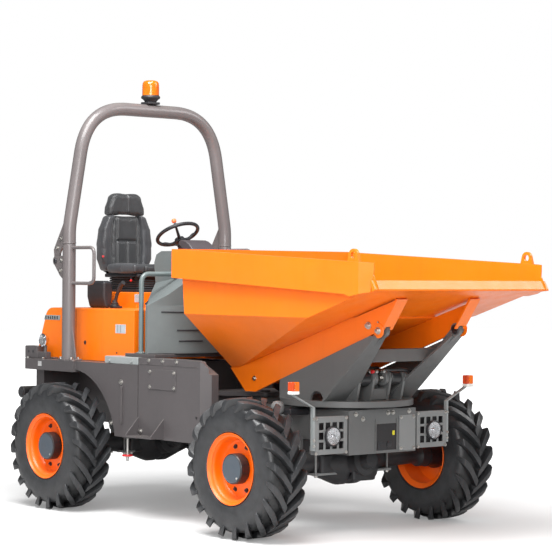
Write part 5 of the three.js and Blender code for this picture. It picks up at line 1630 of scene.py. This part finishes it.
@dataclass
class RollHoop(Assembly):
    """Fixed posts, the folding hoop with its knuckles, and the beacon on top."""

    radius: float = 0.0527
    post_x: float = -0.08
    post_y: float = 0.8
    joint: float = 2.085
    pin: Point = (-0.235, 1.95)
    corner: float = 0.632
    top: float = 3.188
    bend: float = 0.38
    loop: Point = (0.26, 2.054, 1.772)

    def profile(self, points: Outline, y: float, half: float, width: float = 0.003) -> Part:
        """An upright plate from an outline in x and z."""
        return cut_plate([(REAR_X + x, z) for x, z in points], Axis.Y, y - half, y + half, width)

    def posts(self) -> None:
        """The fixed posts with feet, gussets, fold ears and grab loops."""
        for hand, side in SIDES.items():
            node = f"rops_post_{hand}"
            base, y = lowest(node).z, side * self.post_y
            post = self.turned([
                (0, 0), (self.radius, 0), (self.radius, self.joint - base - 0.006),
                (self.radius - 0.004, self.joint - base), (0, self.joint - base)
            ], (self.post_x, y, base), (self.post_x, y, self.joint), 48)
            foot = self.slab((-0.155, side * 0.745, base), (0.03, side * 0.848, base + 0.0138), 0.004)
            gusset = self.profile([
                (-0.05, base + 0.01), (0.025, base + 0.01), (0.025, base + 0.03), (-0.038, base + 0.325),
                (-0.05, base + 0.325)], y, 0.006)
            ears, rounds = [], []
            for way in (-1, 1):
                ears.append(
                    self.profile([
                        (-0.11, 1.785), (-0.11, 1.99), (self.pin[0] + 0.01, 1.99),
                        *(
                            (
                                self.pin[0] + 0.04 * math.cos(math.radians(a)),
                                self.pin[1] + 0.04 * math.sin(math.radians(a)))
                            for a in range(90, 251, 20)),
                        (-0.175, 1.83)], y + way * 0.018, 0.005, 0.0015))
                rounds.append(
                    rod(
                        (REAR_X + self.pin[0], y + way * 0.0225, self.pin[1]),
                        (REAR_X + self.pin[0], y + way * 0.034, self.pin[1]), 0.019, 24, 0.003))
            bolts = [
                bolt(self.at(x, side * 0.798 + dy, base + 0.0138), (0, 0, 1), 0.02) for x in (-0.138, 0.008)
                for dy in (-0.036, 0.032)]
            face = y + side * 0.023
            bolts += [
                bolt(self.at(x, face, z), (0, side, 0), 0.02) for x, z in ((-0.165, 1.872), (-0.155, 1.955))
            ]
            reach, high, low = self.loop
            loop = bent_tube(
                self.points((-0.055, y, high), (reach, y, high), (reach, y, low), (-0.055, y, low)), 0.055,
                10, 0.0138, 20)
            piece = Piece(f"rops_post_{hand}_tube", "rear_chassis")
            piece.add(
                TUBE_TAUPE, post, foot, gusset, loop, *ears).add(ZINC, *bolts).add(DARK_STEEL, *rounds)
            piece.show([node])

    def hoop(self) -> None:
        """The folding hoop with its knuckles and joint sleeves."""
        foot = lowest("rops_hoop").z
        joint = self.joint + 0.0003
        corners = self.points(
            (self.post_x, -self.post_y, joint), (self.post_x, -self.post_y, self.joint + 0.13),
            (self.post_x, -self.corner, self.top), (self.post_x, self.corner, self.top),
            (self.post_x, self.post_y, self.joint + 0.13), (self.post_x, self.post_y, joint))
        arch = bent_tube(corners, self.bend, 22, self.radius, 40)
        plates, pins, heads, bosses = [], [], [], []
        for side in (-1, 1):
            y = side * self.post_y
            plates.append(
                self.profile([
                    (-0.1, 2.093), (-0.1, 2.3), (-0.125, 2.29), (-0.285, 2.04), (-0.269, foot + 0.016),
                    (-0.255, foot + 0.002), (-0.215, foot), (-0.201, 2.01), (-0.14, 2.093)
                ], y, 0.0088, 0.002))
            pins.append(
                rod(
                    (REAR_X + self.pin[0], y - 0.0125, self.pin[1]),
                    (REAR_X + self.pin[0], y + 0.0125, self.pin[1]), 0.022, 24))
            for x, z in ((-0.232, 2.055), (-0.185, 2.128)):
                heads.append(bolt(self.at(x, y + side * 0.0085, z), (0, side, 0), 0.02))
            bosses.append(
                rod(
                    (REAR_X + self.post_x, y, joint), (REAR_X + self.post_x, y, self.joint + 0.012),
                    self.radius + 0.0025, 48, 0.002))
        piece = Piece("rops_hoop_tube", "rops_hoop")
        piece.add(TUBE_TAUPE, arch, *plates, *bosses).add(DARK_STEEL, *pins).add(ZINC, *heads)
        piece.show(["rops_hoop"])

    def beacon(self) -> None:
        """The rotating beacon on its flared bracket."""
        x, low, high = REAR_X + self.post_x, lowest("beacon").z, highest("beacon").z
        base = (x, 0, low)
        tall = high - low
        bracket = lathe([
            (0, 0), (0.036, 0.0), (0.04, 0.01), (0.05, 0.026), (0.064, 0.042), (0.076, 0.05),
            (0.079, 0.056), (0.077, 0.066), (0.07, 0.074), (0, 0.074)], base, (x, 0, high), 48)
        wedge = slab((x - 0.055, -0.062, low), (x + 0.05, 0.062, low + 0.02), 0.006, 2)
        dome = lathe([
            (0, 0.072), (0.0685, 0.072), (0.0692, 0.082), (0.0685, tall - 0.04), (0.065, tall - 0.02),
            (0.056, tall - 0.007), (0.038, tall - 0.001), (0, tall)], base, (x, 0, high), 56)
        lamp = lathe(
            [(0, 0.074), (0.034, 0.074), (0.034, 0.09), (0.016, 0.094), (0.016, 0.14), (0, 0.146)], base,
            (x, 0, high), 24)
        ribs = [
            rod((x, 0, low + z), (x, 0, low + z + 0.0025), 0.0697, 56) for z in (0.096, 0.11, 0.124, 0.138)]
        piece = Piece("beacon_lamp", "rops_hoop")
        piece.add(BLACK_PLASTIC, bracket, wedge).add(AMBER, dome, *ribs).add(BOWL, lamp)
        piece.show(["beacon"], angle=40)

    def build(self) -> None:
        """Makes posts, hoop and beacon."""
        self.posts()
        self.hoop()
        self.beacon()


# ---- Front chassis ----


@dataclass
class FrontChassis(Assembly):
    """Front frame with its turntable ring, lamp guards, headlamps and indicators."""

    body: str = "front_chassis"
    origin: float = FRONT_X
    face: float = 0.41
    lamp_y: float = 0.5
    guard_inner: float = 0.345
    guard_outer: float = 0.65
    lamp_z: float = 0.725

    def frame(self) -> None:
        """The welded box with its front details: cover, a recess framed by two strips with a black sheet as
        its painted shade, tag and bolts.
        """
        piece = Piece("front_frame_weldment", self.body)
        piece.add(FRAME_GREY, from_node("front_frame", 0.004))
        face = self.face
        cover = self.slab((face - 0.001, 0.161, 0.59), (face + 0.006, 0.322, 0.846), 0.002)
        border = [
            self.slab((face - 0.001, y, 0.593), (face + 0.008, y + 0.008, 0.826), 0.002)
            for y in (-0.076, 0.133)]
        # Painted shade: a thin black sheet on the front face stands in for the dark recess.
        painted_recess_shade = self.slab((face - 0.001, -0.068, 0.6), (face + 0.002, 0.133, 0.79), 0.001, 1)
        block_low = self.slab((face, -0.052, 0.604), (face + 0.009, 0.03, 0.66), 0.004)
        port = self.bar((face, 0.06, 0.64), (face + 0.01, 0.06, 0.64), 0.022, 20, 0.003)
        tag = self.slab((face + 0.002, 0.092, 0.706), (face + 0.006, 0.114, 0.738), 0.002)
        heads = [
            bolt(self.at(face, y, z), (1, 0, 0), 0.019)
            for y, z in ((-0.264, 0.868), (0.052, 0.868), (0.1, 0.868), (-0.196, 0.832), (0.262, 0.872))]
        heads += [
            bolt(self.at(face + 0.006, y, z), (1, 0, 0), 0.014) for y in (0.178, 0.305)
            for z in (0.606, 0.83)]
        gap = [rod((TURN_X, 0, 0.8955), (TURN_X, 0, 0.913), 0.403, 96)]
        ball = self.turned(
            [(0, 0), (0.03, 0.002), (0.046, 0.02), (0.05, 0.045), (0.046, 0.07), (0.03, 0.092), (0, 0.098)],
            (-0.11, -0.548, 0.85), (-0.11, -0.548, 1.0), 32)
        arm = self.slab((-0.15, -0.59, 0.838), (-0.07, -0.325, 0.852), 0.003)
        drop = self.slab((0.1, 0.345, 0.6), (face - 0.062, 0.352, 0.84), 0.002)
        pump = self.slab((-0.105, -0.52, 0.845), (-0.005, -0.335, 0.893), 0.008, 2)
        piece.add(FRAME_GREY, *border, drop).add(GUARD_GREY, cover, ball, arm).add(BLACK_PAINT, painted_recess_shade, *gap)
        piece.add(BLACK_PLASTIC, block_low, port, pump).add(YELLOW_TAG, tag).add(ZINC, *heads)
        piece.show(["front_frame"])

    def guards(self) -> None:
        """Pressed lamp guards with square holes."""
        for hand, side in SIDES.items():
            piece = Piece(f"lamp_guard_{hand}_plate", self.body)
            piece.add(GUARD_GREY, from_node(f"lamp_guard_{hand}", 0.003))
            heads = [
                bolt(self.at(self.face, side * y, z), (1, 0, 0), 0.013)
                for y in (self.guard_inner + 0.011, self.guard_outer - 0.011) for z in (0.608, 0.85)]
            near, far = sorted((side * (self.guard_inner + 0.011), side * (self.guard_outer - 0.006)))
            backing = self.slab((self.face - 0.046, near, 0.612), (self.face - 0.04, far, 0.85), 0.001, 1)
            piece.add(ZINC, *heads).add(BLACK_PAINT, backing)
            piece.show([f"lamp_guard_{hand}"])

    def headlamps(self) -> None:
        """Round headlamps: bezel, bowl, bulb shield and lens."""
        for hand, side in SIDES.items():
            spot = self.at(self.face + 0.0003, side * self.lamp_y, self.lamp_z)
            ahead = self.at(1, side * self.lamp_y, self.lamp_z)
            bezel = lathe([
                (0, 0), (0.064, 0.0), (0.07, 0.006), (0.072, 0.016), (0.0705, 0.026), (0.066, 0.03),
                (0.0615, 0.027), (0.061, 0.02), (0, 0.012)], spot, ahead, 56)
            bowl = lathe(
                [(0, 0.013), (0.02, 0.014), (0.04, 0.017), (0.06, 0.0245), (0.0605, 0.02), (0, 0.0125)],
                spot, ahead, 48)
            bulb = lathe(
                [(0, 0.014), (0.013, 0.014), (0.0145, 0.024), (0.011, 0.028), (0, 0.029)], spot, ahead, 24)
            lens = lathe([
                (0, 0.0385), (0.018, 0.038), (0.04, 0.0345), (0.0605, 0.0268), (0.0605, 0.0245),
                (0.04, 0.032), (0.018, 0.0355), (0, 0.036)], spot, ahead, 56)
            piece = Piece(f"headlamp_{hand}_unit", self.body)
            piece.add(BLACK_PLASTIC, bezel).add(BOWL, bowl, bulb).add(CLEAR, lens)
            piece.show([f"headlamp_{hand}"], angle=40)

    def indicators(self) -> None:
        """Bent indicator arms, each with a white base and an amber lens."""
        for hand, side in SIDES.items():
            near, edge = self.guard_outer + 0.0003, self.guard_outer + 0.0203
            outline = [
                (near, 0.628), (edge, 0.628), (edge, 0.929), (0.875, 1.029), (0.875, 1.04), (0.855, 1.04),
                (0.855, 1.031), (near, 0.931)]
            arm = cut_plate(
                [(side * y, z) for y, z in outline][::side], Axis.X, FRONT_X + self.face - 0.03,
                FRONT_X + self.face, 0.003)
            y0, y1 = sorted((side * 0.827, side * 0.898))
            base = self.slab((self.face - 0.014, y0, 1.029), (self.face + 0.0355, y1, 1.052), 0.006, 3)
            share = y0 + (y1 - y0) * 0.36
            red = self.slab(
                (self.face - 0.013, y0 + 0.001, 1.051), (self.face + 0.0345, share, 1.115), 0.005, 3)
            lens = self.slab(
                (self.face - 0.013, share + 0.0005, 1.051),
                (self.face + 0.0345, y1 - 0.001, 1.115), 0.005, 3)
            heads = [
                bolt(self.at(self.face, side * (near + 0.01), z), (1, 0, 0), 0.012)
                for z in (0.66, 0.7, 0.85)]
            heads += [
                self.bar((self.face + 0.034, share, z), (self.face + 0.0358, share, z), 0.003, 12)
                for z in (1.064, 1.104)]
            piece = Piece(f"indicator_{hand}_lamp", self.body)
            piece.add(DECK_PLATE, arm).add(WHITE_PLASTIC, base)
            piece.add(AMBER, lens).add(AMBER_RED, red).add(ZINC, *heads)
            piece.show([f"indicator_{hand}"], angle=40)

    def driveline(self) -> None:
        """The tube and the gear casing low down beside the front axle, seen under the front plate."""
        case = self.turned([
            (0, 0), (0.055, 0.0), (0.062, 0.008), (0.062, 0.15), (0.078, 0.165), (0.078, 0.235),
            (0.06, 0.25), (0, 0.25)], (0.115, -0.075, 0.442), (0.115, 0.25, 0.442), 36)
        boss = self.bar((0.185, 0.031, 0.47), (0.215, 0.031, 0.47), 0.028, 28, 0.003)
        plate = self.slab((0.02, -0.075, 0.36), (0.19, 0.15, 0.52), 0.02, 3)
        piece = Piece("front_gear_casing", self.body)
        piece.add(IRON, case, plate).add(ZINC, boss)
        piece.show()

    def build(self) -> None:
        """Makes every piece of the front chassis."""
        for step in (self.frame, self.guards, self.headlamps, self.indicators, self.driveline):
            step()


# ---- Swivel frame and rams ----


@dataclass
class SwivelFrame(Assembly):
    """The turntable frame that carries the skip, with its pins, fittings and tip rams."""

    body: str = "swivel_frame"
    origin: float = TURN_X
    ram_y: float = 0.15
    base: Point = (0.321, 1.115)
    eye: Point = (-0.566, 1.1)
    rod_radius: float = 0.0298
    gland: float = 0.762

    def frame(self) -> None:
        """The welded frame with its pin caps, fittings and bolts."""
        piece = Piece("swivel_frame_weldment", self.body)
        piece.add(FRAME_GREY, from_node("swivel_frame", 0.004))
        caps, drums, bright, red, bolts = [], [], [], [], []
        for side in (-1, 1):
            tip = self.at(0.762, side * 0.3445, 1.472)
            caps.append(rod(tip, tip - Vector((0, side * 0.006, 0)), 0.035, 28, 0.003))
            hub = self.at(self.base[0], side * self.ram_y, self.base[1])
            for way in (-1, 1):
                inner = hub + Vector((0, way * 0.0795, 0))
                drums.append(rod(inner, inner + Vector((0, way * 0.034, 0)), 0.057, 36, 0.005))
                bolts.append(bolt(inner + Vector((0, way * 0.033, 0)), (0, way, 0), 0.03))
        for y in (-0.17, -0.105, -0.04, 0.03):
            spot = self.at(0.345, y, 1.165)
            bright.append(rod(spot - Vector((0.085, 0, 0)), spot, 0.013, 6, 0.001))
            bright.append(rod(spot - Vector((0.02, 0, 0)), spot + Vector((0.024, 0, 0)), 0.009, 16, 0.001))
            bright.append(bolt(spot + Vector((0.004, 0, 0)), (1, 0, 0), 0.024, False))
        red.append(
            self.turned(
                [(0, 0), (0.012, 0), (0.014, 0.01), (0.01, 0.024), (0, 0.026)], (0.372, -0.105, 1.165),
                (1, -0.105, 1.165), 20))
        manifold = self.slab((0.19, -0.205, 1.135), (0.275, 0.065, 1.195), 0.006, 2)
        stand = self.slab((0.2, -0.065, 0.956), (0.265, 0.065, 1.14), 0.004)
        web = self.slab((0.3, -0.075, 0.96), (0.345, 0.075, 1.04), 0.006, 2)
        piece.add(BLACK_PAINT, manifold).add(FRAME_GREY, stand, web, *drums)
        piece.add(DARK_STEEL, *caps).add(ZINC, *bright, *bolts).add(RED_PLASTIC, *red)
        piece.show(["swivel_frame"])

    def rams(self) -> None:
        """The tip rams: barrels with glands and ports, and chromed rods with eyes."""
        span = Vector((self.eye[0] - self.base[0], 0, self.eye[1] - self.base[1]))
        length, way = span.length, span.normalized()
        for hand, side in SIDES.items():
            y = side * self.ram_y
            start = self.at(self.base[0], y, self.base[1])
            eye = self.at(self.eye[0], y, self.eye[1])
            tube_body = lathe([
                (0.031, self.gland), (0.0465, self.gland), (0.0475, self.gland - 0.006),
                (0.0475, self.gland - 0.05), (0.044, self.gland - 0.056), (0.044, 0.075), (0.0475, 0.068),
                (0.0475, 0.03), (0.0, 0.02)], start, start + way, 48)
            boss = rod((start.x, y - 0.0438, start.z), (start.x, y + 0.0438, start.z), 0.0535, 36, 0.004)
            ports = [
                rod(
                    start + way * share + Vector((0, 0, 0.04)), start + way * share + Vector((0, 0, 0.052)),
                    0.013, 20, 0.001)
                for share in (0.1, self.gland - 0.09)]
            barrel = Piece(f"tip_barrel_{hand}_tube", "tip_barrels")
            barrel.add(RAM_BLACK, tube_body, boss).add(ZINC, *ports)
            barrel.show([f"tip_barrel_{hand}"])
            shaft = rod(start + way * 0.065, start + way * (length - 0.02), self.rod_radius, 40, 0.003)
            knuckle = rod((eye.x, y - 0.0258, eye.z), (eye.x, y + 0.0258, eye.z), 0.0457, 36, 0.004)
            pin = rod((eye.x, y - 0.0262, eye.z), (eye.x, y + 0.0262, eye.z), 0.022, 24)
            moving = Piece(f"tip_rod_{hand}_shaft", "tip_rods")
            moving.add(CHROME, shaft).add(RAM_BLACK, knuckle).add(DARK_STEEL, pin)
            moving.show([f"tip_rod_{hand}"])

    def build(self) -> None:
        """Makes the frame and the rams."""
        self.frame()
        self.rams()


@dataclass
class SteeringRam:
    """The articulation ram on the right side of the yoke."""

    y: float = -0.42
    z: float = 0.79
    start: float = 0.53
    length: float = 0.87
    gland: float = 0.595

    def build(self) -> None:
        """Makes barrel and rod."""
        foot = Vector((REAR_X + self.start, self.y, self.z))
        ahead = foot + Vector((1, 0, 0))
        body = lathe([
            (0.019, self.gland), (0.032, self.gland), (0.0335, self.gland - 0.006),
            (0.0335, self.gland - 0.04), (0.03, self.gland - 0.045), (0.03, 0.07), (0.0335, 0.062),
            (0.0335, 0.034), (0, 0.028)], foot, ahead, 40)
        eye = rod(foot - Vector((0, 0, 0.0278)), foot + Vector((0, 0, 0.0375)), 0.0375, 32, 0.003)
        port = rod(foot + Vector((0.12, 0, 0.028)), foot + Vector((0.12, 0, 0.044)), 0.011, 16, 0.001)
        barrel = Piece("steering_barrel_tube", "steering_barrel")
        barrel.add(RAM_BLACK, body, eye).add(ZINC, port)
        barrel.show(["steering_barrel"])
        tip = foot + Vector((self.length, 0, 0))
        shaft = rod(foot + Vector((0.32, 0, 0)), tip, 0.0178, 32)
        knuckle = rod(tip - Vector((0, 0, 0.0238)), tip + Vector((0, 0, 0.0375)), 0.0335, 32, 0.003)
        moving = Piece("steering_rod_shaft", "steering_rod")
        moving.add(CHROME, shaft).add(RAM_BLACK, knuckle)
        moving.show(["steering_rod"])


# ---- Skip ----


@dataclass
class Skip(Assembly):
    """The tipping skip: tub with its rolled rim, and beams."""

    body: str = "skip"
    origin: float = TURN_X

    def tub(self) -> None:
        """The tub with rounded folds."""
        piece = Piece("skip_tub_shell", self.body)
        piece.add(ORANGE, from_node("skip_tub", 0.006, 3))
        piece.show(["skip_tub"], angle=34)

    def beams(self) -> None:
        """The beams under the tub with pin bosses, pin caps and bolts."""
        piece = Piece("skip_beams_weldment", self.body)
        piece.add(ORANGE, from_node("skip_beams", 0.005, 3))
        bosses, bolts, nipples = [], [], []
        for side in (-1, 1):
            face = side * 0.41
            bosses.append(
                self.turned(
                    [(0.0255, 0), (0.052, 0), (0.052, 0.004), (0.049, 0.0065), (0.0255, 0.0065)],
                    (0.762, face, 1.472), (0.762, face + side, 1.472), 40))
            for x, z in ((0.762, 1.472), (0.662, 1.505)):
                spot = self.at(x, face, z)
                bolts.append(rod(spot, spot + Vector((0, side * 0.01, 0)), 0.026, 28, 0.002))
                bolts.append(bolt(spot + Vector((0, side * 0.009, 0)), (0, side, 0), 0.03, False))
            bolts.append(bolt(self.at(-0.56, face, 1.085), (0, side, 0), 0.02))
            nipples.append(
                self.bar((0.762, face + side * 0.004, 1.53), (0.762, face + side * 0.012, 1.53), 0.006, 12))
        piece.add(ORANGE, *bosses).add(ZINC, *bolts, *nipples)
        piece.show(["skip_beams"])

    def build(self) -> None:
        """Makes tub and beams."""
        self.tub()
        self.beams()


# ---- Pipes and underbody ----


@dataclass(frozen=True)
class Pipe:
    """One bent hydraulic line, rigid here: its carrier, route and diameter."""

    name: str
    body: str
    route: tuple
    diameter: float
    bend: float = 0.05


PIPES = (
    Pipe("swivel_pipe_left", "swivel_frame", (
        (1.258, 0.04, 1.165), (1.33, 0.075, 1.172), (1.372, 0.2, 1.176), (1.372, 0.3, 1.15),
        (1.33, 0.385, 1.09), (1.262, 0.34, 1.03), (1.2, 0.3, 0.99)), 0.026, 0.06),
    Pipe("swivel_pipe_right", "swivel_frame", (
        (1.258, -0.15, 1.15), (1.32, -0.19, 1.13), (1.33, -0.285, 1.08), (1.25, -0.325, 1.01),
        (1.19, -0.3, 0.985)), 0.022, 0.06))


@dataclass
class Underbody(Assembly):
    """Transmission, drive shaft and the lines of the swivel frame."""

    def gearbox(self) -> None:
        """The transmission behind the yoke and the shaft to the rear axle."""
        case = self.slab((0.36, -0.2, 0.52), (0.72, 0.2, 0.86), 0.035, 3)
        nose = self.turned(
            [(0, 0), (0.14, 0), (0.15, 0.02), (0.15, 0.08), (0.1, 0.12), (0, 0.13)], (0.72, 0, 0.69),
            (1, 0, 0.69), 32)
        shaft = self.bar((0.245, 0, 0.535), (0.37, 0, 0.565), 0.034, 24)
        flange = self.bar((0.305, 0, 0.549), (0.325, 0, 0.554), 0.058, 28, 0.003)
        ribs = [
            self.slab((0.4 + 0.06 * i, -0.206, 0.56), (0.412 + 0.06 * i, 0.206, 0.82), 0.004)
            for i in range(5)]
        sump = self.slab((-0.42, -0.17, 0.545), (0.14, 0.17, 0.69), 0.04, 3)
        piece = Piece("transmission_casting", self.body)
        piece.add(IRON, case, nose, sump, *ribs).add(DARK_STEEL, shaft, flange)
        piece.show()

    def pipes(self) -> None:
        """The bent hydraulic lines between the valve block and the turntable."""
        for pipe in PIPES:
            path = rounded_path([Vector(point) for point in pipe.route], pipe.bend, 8)
            ends = []
            for near, after in ((path[0], path[2]), (path[-1], path[-3])):
                way = (after - near).normalized()
                ends.append(rod(near, near + way * 0.032, pipe.diameter * 0.62, 20, 0.002))
                ends.append(bolt(near, way, pipe.diameter * 1.15, False))
            piece = Piece(pipe.name, pipe.body)
            piece.add(RAM_BLACK, tube(path, pipe.diameter / 2, 18)).add(DARK_STEEL, *ends)
            piece.show()

    def build(self) -> None:
        """Makes the gearbox and the pipes."""
        self.gearbox()
        self.pipes()


# ---- Studio ----


@dataclass
class Studio:
    """Pale floor, soft lights and a white world."""

    floor_size: float = 40.0
    floor_tone: float = 0.55
    lift: float = 0.2
    near: float = 3.0
    far: float = 7.0
    world_light: float = 0.62
    world_gloss: float = 0.22

    def floor(self) -> None:
        """The floor, lifted for camera rays so that its open parts are white."""
        sheet = bmesh.new()
        half = self.floor_size
        sheet.faces.new([
            sheet.verts.new((x, y, -0.0005))
            for x, y in ((-half, -half), (half, -half), (half, half), (-half, half))])
        mesh = bpy.data.meshes.new("studio_floor")
        sheet.to_mesh(mesh)
        sheet.free()
        material, graph = painted("studio_floor")
        tone = graph.remap(graph.noise(0.6, 3.0), 0.3, 0.7, self.floor_tone - 0.01, self.floor_tone + 0.01)
        away = graph.node("VectorMath", "Value", {0: graph.place}, operation="LENGTH")
        lift = graph.remap(away, self.near, self.far, self.lift, 1.0)
        graph.set(
            Base_Color=tone, Roughness=0.9, Emission_Color=(1, 1, 1),
            Emission_Strength=graph.math("MULTIPLY", graph.node("LightPath", "Is Camera Ray"), lift))
        mesh.materials.append(material)
        ground = bpy.data.objects.new("studio_floor", mesh)
        bpy.context.scene.collection.objects.link(ground)

    def lamp(self, name: str, place: Point, aim: Point, size: Point, power: float) -> None:
        """One rectangular soft light."""
        light = bpy.data.lights.new(name, "AREA")
        light.shape = "RECTANGLE"
        light.size, light.size_y = size
        light.energy = power
        lamp = bpy.data.objects.new(name, light)
        lamp.location = place
        lamp.rotation_euler = (Vector(aim) - Vector(place)).to_track_quat("-Z", "Y").to_euler()
        bpy.context.scene.collection.objects.link(lamp)

    def world(self) -> None:
        """White for what the camera and transmission rays see, softer as a light and dimmer still in
        reflections.
        """
        world = bpy.data.worlds.new("studio")
        bpy.context.scene.world = world
        world.use_nodes = True
        graph = Graph(world.node_tree, "ShaderNodeBackground", "ShaderNodeOutputWorld")
        seen = graph.math(
            "MAXIMUM", graph.node("LightPath", "Is Camera Ray"),
            graph.node("LightPath", "Is Transmission Ray"))
        level = graph.remap(seen, 0.0, 1.0, self.world_light, 1.0)
        gloss = graph.remap(graph.node("LightPath", "Is Glossy Ray"), 0.0, 1.0, 1.0, self.world_gloss)
        graph.set(Color=(1.0, 1.0, 1.0), Strength=graph.math("MULTIPLY", level, gloss))

    def build(self) -> None:
        """Sets the studio."""
        self.floor()
        self.world()
        self.lamp("key_overhead", (1.5, -3.0, 7.5), (0.0, 0.0, 1.0), (5.0, 5.0), 1180.0)
        self.lamp("fill_front", (7.5, -6.5, 3.6), (0.3, -0.2, 1.1), (5.0, 4.0), 490.0)
        self.lamp("rim_left", (3.4, 4.5, 5.7), (0.6, 0.3, 1.6), (3.0, 3.0), 150.0)
        scene = bpy.context.scene
        scene.view_settings.view_transform = "Standard"


@dataclass
class Viewpoint:
    """The camera, in front of the machine's right front corner at its own height."""

    place: Point = (11.607, -9.849, 1.86)
    heading: float = 139.24
    pitch: float = -0.07
    roll: float = 0.43
    lens: float = 129.2

    def build(self) -> None:
        """Places the camera."""
        turn, rise = math.radians(self.heading), math.radians(self.pitch)
        look = Vector((math.cos(turn) * math.cos(rise), math.sin(turn) * math.cos(rise), math.sin(rise)))
        level = look.cross(Vector((0, 0, 1))).normalized()
        up = level.cross(look).normalized()
        tilt = math.radians(self.roll)
        right = level * math.cos(tilt) + up * math.sin(tilt)
        up = right.cross(look).normalized()
        data = bpy.data.cameras.new("viewpoint")
        data.lens, data.sensor_width = self.lens, 36.0
        data.clip_start, data.clip_end = 0.1, 200.0
        camera = bpy.data.objects.new("viewpoint", data)
        camera.matrix_world = Matrix.Translation(self.place) @ Matrix(
            (right, up, -look)).transposed().to_4x4()
        bpy.context.scene.collection.objects.link(camera)
        bpy.context.scene.camera = camera


def main() -> None:
    """Builds the machine, then the studio and the camera."""
    logging.basicConfig(level=logging.INFO, format="%(message)s")
    assemblies = [Wheel(axle, hand) for axle in ("rear", "front") for hand in SIDES]
    assemblies += [
        Axle("rear_axle", "rear_chassis", pad_y=0.33, clamp_y=0.33),
        Axle("front_axle", "front_chassis", clamp_y=0.238, clamp_half=0.115),
        RearChassis(), EngineHood(), Seat(), Cowl(), RollHoop(), FrontChassis(), SwivelFrame(),
        SteeringRam(), Skip(), Underbody(), Studio(), Viewpoint()]
    for assembly in assemblies:
        assembly.build()
        log.info("built %s", type(assembly).__name__)


if __name__ == "__main__":
    main()
